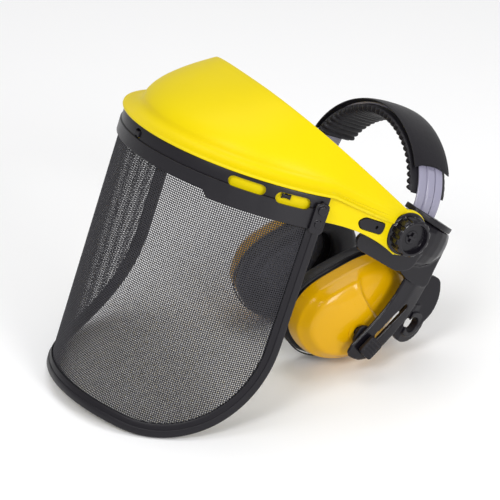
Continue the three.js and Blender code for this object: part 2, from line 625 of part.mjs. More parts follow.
// The flat bracket that reaches forward inside the brow guard and holds its pivot.
function armBracket() {
  const { y, z } = pivotInArm;
  const { inner, outer, boss, bossOuter, disc, corner, blade, web } = BRACKET;
  return join(
    plateX(softOutline(blade, corner), inner, outer),
    box(outer - web.inner, web.length, web.height, (outer + web.inner) / 2, web.y, web.z),
    rodX(disc, inner, outer, y, z, 24),
    rodX(boss, outer - 1, bossOuter, y, z, 20));
}

function bandPocket() {
  const { inner, outer, width, depth, above } = POCKET;
  return inArmFrame(box(outer - inner, width, depth + above, (inner + outer) / 2, 0, (above - depth) / 2));
}

function arm() {
  const { y, z } = pivotInArm;
  const bore = rodX(BRACKET.bore, STRAP.ridge, OUTSIDE, y, z, 16);
  return cut(join(armBody(), armDome(), armStrap(), armBracket()), bandPocket(), armSlot(), bore, collarSeat());
}

function collarOutline(grow) {
  const [inner, outer] = [COLLAR.inner - grow, COLLAR.outer + grow];
  const [front, rear] = [COLLAR.front - grow, COLLAR.rear + grow];
  const [taper, across, along, corner] = [3, 8, 16, 9];
  return softOutline([[inner, front + taper], [outer - across, front], [outer, front + along],
    [outer, rear - along], [outer - across, rear], [inner, rear - taper]], corner, 4);
}

// A flat piece across the top of the arm, tipped like the collar.
function collarSlab(grow, from, to) {
  const slab = new THREE.ExtrudeGeometry(collarOutline(grow), { depth: to - from, bevelEnabled: false });
  const { slope, topZ, middleY } = COLLAR;
  return slab.translate(0, -middleY, from).rotateX(rad(slope)).translate(0, middleY, topZ);
}

const collarSeat = () => collarSlab(12, -COLLAR.thick - GAP, 30);

function armCollar() {
  return cut(collarSlab(0, -COLLAR.thick, 0), bandPocket());
}

// The plate behind the strap that ends in a stepped disc with an eye.
function lugPlate() {
  const { inner, outer, y, z, radius, turn, rim, step, stepShare, eyeShare, corner, blade } = LUG;
  const middle = (inner + outer) / 2;
  const turned = (piece) => piece.translate(-middle, 0, 0).rotateZ(rad(turn)).translate(middle, y, z);
  const disc = join(
    turned(rodX(radius, inner - rim, outer + rim, 0, 0, 24)),
    turned(rodX(radius * stepShare, inner, outer + step, 0, 0, 20)));
  const eye = turned(rodX(radius * eyeShare, inner - 20, outer + 20, 0, 0, 16));
  const front = STRAP.inner - GAP;
  const underStrap = box(20, 90, 90, front - 10, y, z);
  const strapSpace = box(40, 60, 120, front + 20, 8, z);
  const plate = common(plateX(softOutline(blade, corner), inner, outer), underStrap);
  return cut(join(plate, cut(disc, strapSpace)), eye);
}

// The slider in the strap's slot: a plate behind, a rib through the slot, a thumb tab outside.
const slotTurn = Math.atan2(ARM_SLOT.endZ - ARM_SLOT.topZ, ARM_SLOT.endY - ARM_SLOT.topY);
const onSlot = (piece, fromEnd) => piece.rotateX(slotTurn).translate(0,
  ARM_SLOT.endY - fromEnd * Math.cos(slotTurn), ARM_SLOT.endZ - fromEnd * Math.sin(slotTurn));

function slider() {
  const { inner, outer, tabInner, tabOuter, fromEnd, ribLength, ribGap, plateCorner, tabCorner } = SLIDER;
  const plate = plateX(softOutline(SLIDER.plate, plateCorner), inner, outer);
  const ribShape = roundedSlot(ribLength, ARM_SLOT.width - 2 * ribGap);
  const rib = onSlot(plateX(ribShape, inner + 0.5, tabInner + 1), fromEnd);
  const tab = onSlot(plateX(softOutline(SLIDER.tab, tabCorner), tabInner, tabOuter), fromEnd);
  const { ridges, ridgeHeight, ridgeWidth, ridgeLength } = SLIDER;
  const grips = ridges.map((shift) => onSlot(
    box(ridgeHeight, ridgeWidth, ridgeLength, tabOuter, shift, -1), fromEnd));
  const neck = rodX(BALL.neck, BALL.x, inner + 1, BALL.y, BALL.z, 16);
  const ball = new THREE.SphereGeometry(BALL.radius, 12, 8).translate(BALL.x, BALL.y, BALL.z);
  return join(plate, rib, tab, ...grips, neck, ball);
}

// ---- Ear cups ----------------------------------------------------------------------------------
const cupOutline = new THREE.CatmullRomCurve3(
  CUP_OUTLINE.map(([z, y]) => new THREE.Vector3(0, y, z)), true, 'centripetal');

const cupLoop = (x, scale) => Array.from({ length: CUP.sides }, (_, k) => {
  const point = cupOutline.getPointAt(k / CUP.sides);
  return new THREE.Vector3(x, CUP.y + point.y * scale, CUP.z + point.z * scale);
});
const cupFlat = () => cupLoop(0, 1).map((point) => new THREE.Vector2(point.y, point.z));
const cupSlab = (from, to, scale) => loft([cupLoop(from, scale), cupLoop(to, scale)], cupFlat());

// Depth of the hollow in the cup's face where the strap passes, ended by a curved ridge.
function faceRelief(y, z) {
  const ridge = RELIEF.y + RELIEF.curve * (z - RELIEF.z) ** 2;
  return RELIEF.depth * smoothstep(y, ridge, ridge + RELIEF.fade);
}

function cupShell() {
  const depth = CUP.face - CUP.rim;
  const outside = CUP_PROFILE.map(([share, scale]) => cupLoop(CUP.rim + share * depth, scale).map((point) => {
    const inFace = smoothstep(share, RELIEF.from, RELIEF.to);
    return point.setX(point.x - inFace * faceRelief(point.y, point.z));
  }));
  const shrink = (scale) => Math.max(scale - CUP.wall / CUP.radius, 0.04);
  const inside = CUP_PROFILE.filter((_, i) => i % 2 === 0).map(([share, scale]) => cupLoop(
    CUP.rim + share * (depth - CUP.wall - CUP.floor) - (share ? 0 : 1), shrink(scale)));
  const body = cut(loft(outside, cupFlat()), loft(inside, cupFlat()));
  const { x, y, z, radius, clearance, neck, mouthGap } = BALL;
  const boss = rodX(BALL.boss, CUP.face - BALL.bossDepth, CUP.face - BALL.bossTop, y, z, 16);
  const socket = new THREE.SphereGeometry(radius + clearance, 12, 8).translate(x, y, z);
  const mouth = rodX(neck + mouthGap, x, OUTSIDE, y, z, 12);
  return cut(join(body, boss), socket, mouth);
}

function earCushion() {
  const { inner, outer, hole, scale, drop, square, sides } = CUSHION;
  const [middle, half] = [(inner + outer) / 2, (outer - inner) / 2];
  const [centre, reach] = [((1 + hole) / 2) * scale, ((1 - hole) / 2) * scale];
  const squared = (value) => Math.sign(value) * Math.abs(value) ** square;
  const rows = [];
  for (let i = 0; i <= sides; i++) {
    const angle = (2 * Math.PI * (i % sides)) / sides;
    rows.push(cupLoop(middle + half * squared(Math.sin(angle)), centre + reach * squared(Math.cos(angle))));
  }
  const faces = [];
  const count = CUP.sides;
  for (let i = 0; i < sides; i++) {
    for (let k = 0; k < count; k++) {
      const [a, b] = [i * count + k, i * count + ((k + 1) % count)];
      faces.push([a, b, a + count], [b, b + count, a + count]);
    }
  }
  return fromFaces(rows.flat(), faces).translate(0, 0, -drop);
}

function backPlate() {
  const { inner, outer, scale, hole } = BACK_PLATE;
  return cut(cupSlab(inner, outer, scale), cupSlab(inner - 1, outer + 1, hole));
}

// ---- Headband ----------------------------------------------------------------------------------
// The arch on its outside, from one foot over the top to the other, as points with outward normals.
function archPoint(share) {
  const angle = Math.PI * share;
  const [c, s] = [Math.cos(angle), Math.sin(angle)];
  const bend = (value) => Math.sign(value) * Math.abs(value) ** (2 / ARCH.power);
  return new THREE.Vector3(ARCH.halfWidth * bend(c), 0, ARCH.height * bend(s));
}

const archCurve = new THREE.CatmullRomCurve3(spread(0.0001, 0.9999, 96).map(archPoint));
const archLength = archCurve.getLength();

// A point on the arch a distance from its left foot, moved inward by a depth and back by y.
function onArch(distance, depth, y) {
  if (distance < 0) return new THREE.Vector3(ARCH.halfWidth - depth, y, distance);
  if (distance > archLength) return new THREE.Vector3(-ARCH.halfWidth + depth, y, archLength - distance);
  const point = archCurve.getPointAt(distance / archLength);
  const along = archCurve.getTangentAt(distance / archLength);
  if (distance < 1) along.set(0, 0, 1);
  if (distance > archLength - 1) along.set(0, 0, -1);
  return new THREE.Vector3(point.x - along.z * depth, y, point.z + along.x * depth);
}

function strip(from, to, section, steps) {
  const rows = spread(from, to, steps).map(
    (distance) => section(distance).map(([depth, y]) => onArch(distance, depth, y)));
  return loft(rows, section(archLength / 2).map(([a, b]) => new THREE.Vector2(a, b)));
}

function springBand() {
  const { top, thick, width, legDepth, ridge, ridgeWidth } = BAND;
  const [half, foot] = [width / 2, ridgeWidth / 2];
  const section = [[top + thick, -half], [top, -half], [top, -foot], [top - ridge, -foot + 1],
    [top - ridge, foot - 1], [top, foot], [top, half], [top + thick, half]];
  const flat = section.map(([depth, y]) => [Math.max(depth, top), y]);
  const covered = (distance) => distance > COVER.leftEnd - 2 && distance < archLength - COVER.rightEnd + 2;
  return strip(-legDepth, archLength + legDepth, (distance) => (covered(distance) ? flat : section), 38);
}

function bandCover() {
  const { thick, width, leftEnd, rightEnd, crown, edge, shoulder } = COVER;
  const half = width / 2;
  const section = [[thick, -half + edge], [thick / 2, -half], [0, -half + shoulder], [-crown, 0],
    [0, half - shoulder], [thick / 2, half], [thick, half - edge]];
  return strip(leftEnd, archLength - rightEnd, () => section, 26);
}

function bandPad() {
  const { thick, width, leftEnd, rightEnd, edge, round, crown } = PAD;
  const [half, top] = [width / 2, BAND.top + BAND.thick + GAP];
  const foot = top + thick;
  const section = [[top, -half + edge], [top + edge, -half], [foot - round, -half], [foot, -half + crown],
    [foot, half - crown], [foot - round, half], [top + edge, half], [top, half - edge]];
  return strip(leftEnd, archLength - rightEnd, () => section, 26);
}

// ---- Assembly ----------------------------------------------------------------------------------
const faceShield = new THREE.Group();
faceShield.position.set(0, REST.y, REST.z);
const browUnit = new THREE.Group();
browUnit.rotation.x = -rad(VISOR_TILT);
const headset = new THREE.Group();
headset.position.set(0, HEADSET.y, HEADSET.z);
headset.rotation.x = -rad(ARM_LEAN);
const headband = new THREE.Group();
headband.position.copy(headset.position);
headband.rotation.x = -rad(BAND_LEAN);
faceShield.add(browUnit, headset, headband);

function put(group, name, geometry, material) {
  const mesh = new THREE.Mesh(geometry, material);
  mesh.name = name;
  group.add(mesh);
  return mesh;
}

// The same piece on both sides: as made on the left, mirrored on the right.
function putPair(group, name, make, material, place = () => {}) {
  for (const side of ['left', 'right']) {
    const piece = put(group, `${name}_${side}`, side === 'left' ? make() : mirrored(make()), material());
    place(piece);
  }
}

put(browUnit, 'brow_guard', browGuard(), yellow());
put(browUnit, 'visor_carrier', visorCarrier(), black());
put(browUnit, 'visor_mesh', visorMesh(), wire());
put(browUnit, 'edge_trim', edgeTrim(), black());
for (const place of STUDS) put(browUnit, place.name, stud(place), black());
put(browUnit, 'trim_clip_left', trimClip(1), black());
put(browUnit, 'trim_clip_right', trimClip(-1), black());
putPair(browUnit, 'latch_insert', latchInsert, black);

const atPivot = (mesh) => mesh.position.set(0, pivotInArm.y, pivotInArm.z);
putPair(headset, 'knob', knob, black, atPivot);
putPair(headset, 'knob_bolt', knobBolt, grey, atPivot);
putPair(headset, 'arm', arm, black);
putPair(headset, 'arm_collar', armCollar, mattBlack);
putPair(headset, 'lug_plate', lugPlate, mattBlack);
putPair(headset, 'slider', slider, mattBlack);
putPair(headset, 'cup_shell', cupShell, amber);
putPair(headset, 'cup_back_plate', backPlate, mattBlack);
putPair(headset, 'ear_cushion', earCushion, mattBlack);
putPair(headset, 'ear_foam', () => cupSlab(FOAM.inner, FOAM.outer, FOAM.scale), foamGrey);

put(headband, 'spring_band', springBand(), grey());
put(headband, 'band_cover', bandCover(), mattBlack());
put(headband, 'band_pad', bandPad(), mattBlack());

export default faceShield;
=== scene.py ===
"""Looks of a face shield with ear muffs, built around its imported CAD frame.

Shapes are worked out in millimetres in three local frames (visor, headset and band), each set in the
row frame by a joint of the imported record, and every piece rides on the body of the node it shows.
"""

import json
import math

import bmesh
import bpy
import numpy as np
from mathutils import Matrix, Vector

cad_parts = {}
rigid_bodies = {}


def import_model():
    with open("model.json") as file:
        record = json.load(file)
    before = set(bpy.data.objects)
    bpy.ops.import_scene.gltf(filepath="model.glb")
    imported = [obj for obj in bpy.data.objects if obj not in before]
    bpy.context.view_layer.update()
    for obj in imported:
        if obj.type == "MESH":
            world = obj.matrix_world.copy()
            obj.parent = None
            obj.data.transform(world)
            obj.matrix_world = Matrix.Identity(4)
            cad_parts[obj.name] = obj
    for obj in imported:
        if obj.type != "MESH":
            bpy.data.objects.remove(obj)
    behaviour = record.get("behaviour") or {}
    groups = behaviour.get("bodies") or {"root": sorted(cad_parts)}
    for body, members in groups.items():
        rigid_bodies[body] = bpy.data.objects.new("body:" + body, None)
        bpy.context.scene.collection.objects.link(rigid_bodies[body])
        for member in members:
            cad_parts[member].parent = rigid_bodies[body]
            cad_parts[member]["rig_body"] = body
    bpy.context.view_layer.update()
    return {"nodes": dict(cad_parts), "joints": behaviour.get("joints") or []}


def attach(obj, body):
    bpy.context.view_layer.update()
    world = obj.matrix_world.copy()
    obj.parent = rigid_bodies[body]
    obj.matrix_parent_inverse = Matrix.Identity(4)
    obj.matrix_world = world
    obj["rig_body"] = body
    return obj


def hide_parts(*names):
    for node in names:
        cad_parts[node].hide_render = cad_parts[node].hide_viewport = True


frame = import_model()
joints = {joint["name"]: joint for joint in frame["joints"]}

MM = 0.001

# ---- Driving dimensions, in millimetres and degrees --------------------------------------------
VISOR_TILT = 20
PIVOT = {"y": 69.5, "z": -1}
PLAN = {"half_width": 110.9, "half_depth": 116.7, "tail_curve": 0.00177, "tail_end": 84}
VISOR = {"half_length": 161.7, "drop": 193.2, "top": 8, "corner": 94.1}
WEAVE = {"pitch": 1.6, "width": 0.74, "thick": 0.5, "wave": 0.25, "inset": 0.6}
TRIM = {"depth": 8.8, "lip": 1.6, "half": 2.8, "groove": 1.15, "top": -5.2}
CARRIER = {
    "outer": 2.0, "inner": -1.0, "top": 20.8, "step": 11.6, "flange_outer": 2.9, "flange_inner": 1.0,
    "foot_front": 1.0, "foot_side": -4.5, "step_start": 70, "step_end": 78, "half_length": 163.5,
}
SLOTS = [
    {"s": 101.5, "z": 14.4, "length": 28.5, "height": 7.8},
    {"s": 136.5, "z": 13, "length": 27, "height": 8.6},
]
FRONT_HOLE = {"s": 0, "z": 15, "length": 9, "height": 7.4}
CLIP_PIN = {"s": 158, "z": 16, "radius": 1.8}
SHELL = 2.2
REAR_EDGE = {"half_width": 100.6, "foot_y": 71.4, "foot_z": 13.7, "top_y": -45.5, "top_z": 74, "power": 2.78}
BRIM = {
    "front": 3.6, "rear": -0.6, "root_front": -9.5, "root_rear": -1.8, "z": 23.6, "rear_z": 3.5, "fall": -12,
    "narrows_from": -40, "root_rise": 7, "bend_out": 1.4, "bend_rise": 0.6,
}
DOME = {"start": 0.3, "reach": 0.5, "drop": 0.3}
WALL = {
    "outer": -1.6, "inner": -3.9, "foot": 1.5, "foot_from": -15, "foot_curve": 0.0031, "rear_y": 66,
    "head_rise": 3.6,
}
LATCH = {"y": 31, "z": 3.4, "length": 29, "height": 10, "slope": -9}
STUD_HOLES = [{"s": 131, "z": 14.4}, {"s": -131, "z": 14.4}, {"s": 0, "z": 15}]
RING = {"radius": 18, "inner": 97.6, "outer": 101.4, "bore": 3.3}
KNOB = {
    "inner": 101.8, "outer": 114, "radius": 15.2, "flange": 17, "ribs": 12, "rib": 1.2, "recess": 11.6,
    "floor": 109.5, "cross": 7.6, "cross_bar": 1.9,
}
BOLT = {"bore": 3.0, "depth": 108}
BALL = {"x": 68.3, "y": 5, "z": -108, "mouth": 3.3, "socket": 4.45, "boss": 8.5, "boss_depth": 9}
CUP = {"rim": 44, "face": 70, "wall": 2.5, "y": -2.5, "z": -94.4, "radius": 42, "spare": 3.6}
RELIEF = {
    "y": -17, "z": -68, "curve": 0.05, "fade": 6, "depth": 3.2, "from": 0.4, "to": 0.8,
    "crest": 0.9, "crest_width": 1.6, "crest_z": -66, "crest_end": 27, "crest_full": 16,
}
CUSHION = {
    "inner": 24.8, "outer": 40.6, "hole": 0.6, "scale": 1.07, "drop": 0.81, "squareness": 0.62,
    "swell_room": 0.6, "seam": 0.55,
}
CLOTH = {"voxel": 2.6, "cap": 1.6, "pressure": 4.0, "frames": 20}
FOAM = {"inner": 46, "outer": 50, "scale": 0.8, "dimple": 0.9}
ARCH = {"half_width": 76, "height": 58.6, "power": 1.9}
BAND = {"top": 1.9, "thick": 1.8, "width": 24, "leg": 28, "ridge": 1.0, "ridge_width": 7}
COVER = {
    "thick": 1.6, "width": 35, "left_end": 34, "right_end": 12, "notch": 5, "crown": -1.2, "crown_fall": 1.6,
    "seam": 0.45,
}
PAD = {
    "thick": 8, "width": 37, "left_end": 12, "right_end": 10, "flute": 6.4, "depth": 2.0, "squareness": 0.6,
}

# ---- The three local frames in the row frame ---------------------------------------------------


def leaning(angle, local, place):
    """A frame turned about X so that its own z leans back by the angle, with a local point at a place."""
    turn = np.array(Matrix.Rotation(-angle, 4, "X"))
    turn[:3, 3] = np.array(place) / MM - turn[:3, :3] @ np.array(local, float)
    return turn


def lean_of(axis):
    return math.atan2(axis[1], axis[2])


pivot_place = joints["visor_tilt"]["pos_m"]
ball_place = joints["left_cup_swivel"]["pos_m"]
VISOR_FRAME = leaning(math.radians(VISOR_TILT), (0, PIVOT["y"], PIVOT["z"]), pivot_place)
HEADSET_FRAME = leaning(
    lean_of(joints["left_cup_swivel"]["axis"]), (BALL["x"], BALL["y"], BALL["z"]), ball_place)
BAND_FRAME = leaning(
    lean_of([-a for a in joints["left_arm_extend"]["axis"]]), (0, 0, 0), HEADSET_FRAME[:3, 3] * MM)
pivot_in_headset = np.linalg.inv(HEADSET_FRAME) @ np.array([0, pivot_place[1] / MM, pivot_place[2] / MM, 1])


# ---- Mesh making -------------------------------------------------------------------------------
def new_piece(name, points, faces, place=None):
    """A mesh object from points in millimetres in a local frame."""
    points = np.asarray(points, float).reshape(-1, 3)
    if place is not None:
        points = points @ place[:3, :3].T + place[:3, 3]
    mesh = bpy.data.meshes.new(name)
    mesh.from_pydata((points * MM).tolist(), [], faces)
    mesh.update()
    outward(mesh)
    piece = bpy.data.objects.new(name, mesh)
    bpy.context.scene.collection.objects.link(piece)
    return piece


def outward(mesh):
    bm = bmesh.new()
    bm.from_mesh(mesh)
    bmesh.ops.recalc_face_normals(bm, faces=bm.faces)
    bm.to_mesh(mesh)
    bm.free()


def ring_faces(rows, count, loop=False):
    """Quads between rows of closed rings; with loop, the last row joins the first."""
    i = np.arange(rows if loop else rows - 1)[:, None]
    k = np.arange(count)[None]
    after, turn = (i + 1) % rows, (k + 1) % count
    quads = np.stack([i * count + k, i * count + turn, after * count + turn, after * count + k], -1)
    return quads.reshape(-1, 4).tolist()


def loft(name, rows, place=None, loop=False):
    """A closed body through rings of points; its ends are capped unless it closes on itself."""
    rows = np.asarray(rows, float)
    count = rows.shape[1]
    faces = ring_faces(len(rows), count, loop)
    if not loop:
        last = (len(rows) - 1) * count
        faces += [list(range(count)), [last + k for k in range(count)]]
    return new_piece(name, rows, faces, place)


def settle(piece):
    """Every modifier becomes part of the mesh."""
    bpy.context.view_layer.update()
    evaluated = piece.evaluated_get(bpy.context.evaluated_depsgraph_get())
    old, piece.data = piece.data, bpy.data.meshes.new_from_object(evaluated)
    piece.modifiers.clear()
    bpy.data.meshes.remove(old)
    return piece


def combine(piece, tool, operation):
    modifier = piece.modifiers.new(operation, "BOOLEAN")
    modifier.operation = operation
    modifier.solver = "MANIFOLD"
    modifier.object = tool
    settle(piece)
    bpy.data.objects.remove(tool)
    return piece


def joined(piece, *others):
    """Several bodies in one object."""
    bm = bmesh.new()
    for other in (piece, *others):
        bm.from_mesh(other.data)
    bm.to_mesh(piece.data)
    bm.free()
    for other in others:
        bpy.data.objects.remove(other)
    return piece


def mirrored(piece, name):
    """The same piece on the wearer's other side."""
    mesh = piece.data.copy()
    mesh.transform(Matrix.Scale(-1, 4, (1, 0, 0)))
    mesh.flip_normals()
    twin = bpy.data.objects.new(name, mesh)
    bpy.context.scene.collection.objects.link(twin)
    return twin


def finished(piece, node, material, sharp=38, others=()):
    """Gives a piece its material and its body, and hides the CAD nodes it stands for."""
    for polygon in piece.data.polygons:
        polygon.use_smooth = True
    piece.data.set_sharp_from_angle(angle=math.radians(sharp))
    piece.data.materials.clear()
    piece.data.materials.append(material)
    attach(piece, frame["nodes"][node]["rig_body"])
    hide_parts(node, *others)
    return piece


def smooth_curve(points, count, closed=False):
    """A Catmull-Rom curve through points, centripetal, as evenly spaced points."""
    points = np.asarray(points, float)
    if closed:
        points = np.concatenate([points[-1:], points, points[:2]])
    else:
        points = np.concatenate([2 * points[:1] - points[1:2], points, 2 * points[-1:] - points[-2:-1]])
    pieces = []
    for p0, p1, p2, p3 in zip(points, points[1:], points[2:], points[3:]):
        d0, d1, d2 = (max(np.linalg.norm(b - a), 1e-6) ** 0.5 for a, b in ((p0, p1), (p1, p2), (p2, p3)))
        t1 = ((p1 - p0) / d0 - (p2 - p0) / (d0 + d1) + (p2 - p1) / d1) * d1
        t2 = ((p2 - p1) / d1 - (p3 - p1) / (d1 + d2) + (p3 - p2) / d2) * d1
        t = np.linspace(0, 1, 24, endpoint=False)[:, None]
        pieces.append(p1 + t1 * t + (3 * (p2 - p1) - 2 * t1 - t2) * t**2 + (2 * (p1 - p2) + t1 + t2) * t**3)
    dense = np.concatenate([*pieces, points[-2:-1]])
    run = np.concatenate([[0], np.cumsum(np.linalg.norm(np.diff(dense, axis=0), axis=1))])
    at = np.linspace(0, run[-1], count, endpoint=not closed)
    return np.stack([np.interp(at, run, dense[:, k]) for k in range(dense.shape[1])], -1)


def smoothstep(x, low, high):
    t = np.clip((np.asarray(x, float) - low) / (high - low), 0, 1)
    return t * t * (3 - 2 * t)


def lerp(a, b, t):
    return a + (b - a) * t


def rounded_slot(length, height, steps=12):
    """The outline of a slot with round ends."""
    half, radius = (length - height) / 2, height / 2
    turn = np.linspace(-math.pi / 2, math.pi / 2, steps)
    right = np.stack([half + radius * np.cos(turn), radius * np.sin(turn)], -1)
    return np.concatenate([right, -right])


def soft_outline(corners, radius, steps=5):
    """A polygon with each corner cut back and rounded."""
    corners = np.asarray(corners, float)
    points = []
    for before, here, after in zip(np.roll(corners, 1, 0), corners, np.roll(corners, -1, 0)):
        reach = min([radius] + [0.45 * np.linalg.norm(here - other) for other in (before, after)])
        start, end = (
            here + (other - here) * reach / np.linalg.norm(other - here) for other in (before, after))
        for t in np.linspace(0, 1, steps):
            points.append((1 - t) ** 2 * start + 2 * t * (1 - t) * here + t * t * end)
    return np.array(points)


def prism(name, outline, axes, low, high, place):
    """An outline in the plane of two axes, made thick along the third. axes is a 4 by 4 matrix."""
    flat = np.asarray(outline)
    rows = [np.column_stack([flat, np.full(len(flat), depth)]) @ axes[:3, :3].T + axes[:3, 3]
            for depth in (low, high)]
    return loft(name, rows, place)


def disc(radius, sides=48):
    turn = np.arange(sides) * 2 * math.pi / sides
    return np.stack([radius * np.cos(turn), radius * np.sin(turn)], -1)


def along_x(y=0.0, z=0.0):
    """Axes for a prism whose outline lies in the y-z plane at a place, thick along x."""
    axes = np.eye(4)
    axes[:3, :3] = np.array([[0, 0, 1], [1, 0, 0], [0, 1, 0]])
    axes[:3, 3] = (0, y, z)
    return axes


# ---- The plan of the visor and brow guard ------------------------------------------------------
def plan_table():
    angle = np.linspace(0, math.pi / 2, 181)
    tail = np.linspace(0, PLAN["tail_end"], 61)[1:]
    half_width = PLAN["half_width"]
    x = np.concatenate([half_width * np.sin(angle), half_width - PLAN["tail_curve"] * tail**2])
    y = np.concatenate([-PLAN["half_depth"] * np.cos(angle), tail])
    run = np.concatenate([[0], np.cumsum(np.hypot(np.diff(x), np.diff(y)))])
    return run, x, y, np.gradient(x, run), np.gradient(y, run)


RUN, PLAN_X, PLAN_Y, ALONG_X, ALONG_Y = plan_table()


def on_plan(s, offset, z):
    """Points at signed distances along the plan, moved outward by offsets."""
    s, offset, z = np.broadcast_arrays(np.asarray(s, float), offset, z)
    distance = np.abs(s)
    side = np.where(s < 0, -1.0, 1.0)
    tx, ty = np.interp(distance, RUN, ALONG_X), np.interp(distance, RUN, ALONG_Y)
    size = np.hypot(tx, ty)
    x = np.interp(distance, RUN, PLAN_X) + ty / size * offset
    y = np.interp(distance, RUN, PLAN_Y) - tx / size * offset
    return np.stack([side * x, y, z], -1)


def distance_at(y):
    return float(np.interp(y, PLAN_Y, RUN))


def upright(s, z):
    """Axes standing on the plan at s: along it, up, and outward."""
    foot, out = on_plan(s, 0, z), on_plan(s, 1, z) - on_plan(s, 0, z)
    axes = np.eye(4)
    axes[:3, 0], axes[:3, 1], axes[:3, 2] = np.cross((0, 0, 1), out), (0, 0, 1), out
    axes[:3, 3] = foot
    return axes


# ---- Brow guard --------------------------------------------------------------------------------
def rear_edge(shares):
    angle = np.linspace(0, math.pi / 2, 400)
    power = 2 / REAR_EDGE["power"]
    rise = np.cos(angle) ** power
    points = np.stack([
        REAR_EDGE["half_width"] * np.sin(angle) ** power,
        lerp(REAR_EDGE["foot_y"], REAR_EDGE["top_y"], rise),
        lerp(REAR_EDGE["foot_z"], REAR_EDGE["top_z"], rise)], -1)
    run = np.concatenate([[0], np.cumsum(np.linalg.norm(np.diff(points, axis=0), axis=1))])
    at = np.abs(shares) * run[-1]
    edge = np.stack([np.interp(at, run, points[:, k]) for k in range(3)], -1)
    edge[:, 0] *= np.sign(shares)
    return edge


def brim_z(y):
    return lerp(BRIM["z"], BRIM["rear_z"], np.clip((y - BRIM["fall"]) / (PIVOT["y"] - BRIM["fall"]), 0, 1))


def brow_outside(shares):
    """The brow guard's outer skin, a row from the brim's edge to the open rear edge for each share."""
    s = shares * distance_at(PIVOT["y"])
    y = on_plan(s, 0, 0)[:, 1]
    rear, z = smoothstep(y, BRIM["narrows_from"], PIVOT["y"]), brim_z(y)
    edge = on_plan(s, lerp(BRIM["front"], BRIM["rear"], rear), z)
    root_offset = lerp(BRIM["root_front"], BRIM["root_rear"], rear)
    root = on_plan(s, root_offset, z + BRIM["root_rise"])
    bend = on_plan(s, root_offset + BRIM["bend_out"], z + BRIM["bend_rise"])
    top = rear_edge(shares)
    rise = (top - root)[:, 2:] * np.array([0, 0, 1])
    reach = (root - top) * np.array([1, 1, 0])
    first, second = root + DOME["start"] * rise, top + DOME["reach"] * reach - DOME["drop"] * rise
    brim = [(1 - t) ** 2 * edge + 2 * t * (1 - t) * bend + t * t * root for t in np.linspace(0, 1, 11)]
    dome = [(1 - t) ** 3 * root + 3 * t * (1 - t) ** 2 * first + 3 * t * t * (1 - t) * second + t**3 * top
            for t in np.linspace(0, 1, 31)[1:]]
    return np.stack([*brim, *dome], 1)


def with_round_rim(outside, inside, bulge=0.7):
    """Rings that run up the outside and down the inside, with a rounded rim at each end."""
    rims = []
    for end, step in ((-1, -2), (0, 1)):
        centre = (outside[:, end] + inside[:, end]) / 2
        half = outside[:, end] - centre
        push = outside[:, end] - outside[:, step]
        push = push / np.linalg.norm(push, axis=1, keepdims=True)
        push = push * np.linalg.norm(half, axis=1, keepdims=True)
        turns = np.radians([45, 90, 135])
        rim = [centre + math.cos(turn) * half + bulge * math.sin(turn) * push for turn in turns]
        rims.append(rim if end else rim[::-1])
    return np.concatenate([outside, np.stack(rims[0], 1), inside[:, ::-1], np.stack(rims[1], 1)], 1)


def brow_wall():
    end = distance_at(WALL["rear_y"])
    s = np.linspace(-end, end, 161)
    y = on_plan(s, 0, 0)[:, 1]
    foot = WALL["foot"] - WALL["foot_curve"] * np.maximum(0, y - WALL["foot_from"]) ** 2
    head = brim_z(y) + WALL["head_rise"] * smoothstep(y, BRIM["narrows_from"], PIVOT["y"])
    heights = [lerp(foot, head, t) for t in np.linspace(0, 1, 9)]
    outside = np.stack([on_plan(s, WALL["outer"], z) for z in heights], 1)
    inside = np.stack([on_plan(s, WALL["inner"], z) for z in heights], 1)
    return loft("brow_wall", with_round_rim(outside, inside, 0.3), VISOR_FRAME)


def ring_lathe(name, profile, centre, place, sides=72):
    """A body of revolution about x through a centre; the profile is (x, radius) and ends on the axis."""
    turn = np.arange(sides) * 2 * math.pi / sides
    rows = [np.stack([np.full(sides, x), centre[0] + r * np.cos(turn), centre[1] + r * np.sin(turn)], -1)
            for x, r in profile]
    return loft(name, rows, place)


def latch_prism(low, high):
    """The cutter for a latch's slot, with one pointed end, square to the plan."""
    half, height = LATCH["length"] / 2, LATCH["height"] / 2
    corners = [(-half, 0), (-0.64 * half, -height), (half, -height), (half, height), (-0.64 * half, height)]
    turn = Matrix.Rotation(math.atan(2 * PLAN["tail_curve"] * LATCH["y"]), 4, "Z")
    turn = np.array(turn @ Matrix.Rotation(math.radians(LATCH["slope"]), 4, "X"))
    axes = turn @ along_x()
    axes[:3, 3] = on_plan(distance_at(LATCH["y"]), 0, LATCH["z"])
    return prism("latch_slot", soft_outline(corners, 3.4), axes, low, high, None)


def flipped(piece):
    """The piece moved to the other side of the visor frame's middle plane."""
    piece.data.transform(Matrix.Scale(-1, 4, (1, 0, 0)))
    piece.data.flip_normals()
    return piece


def into_visor_frame(piece):
    """Moves a piece made in visor millimetres without a place into the row frame."""
    matrix = Matrix(VISOR_FRAME.tolist())
    matrix.translation *= MM
    piece.data.transform(matrix)
    return piece


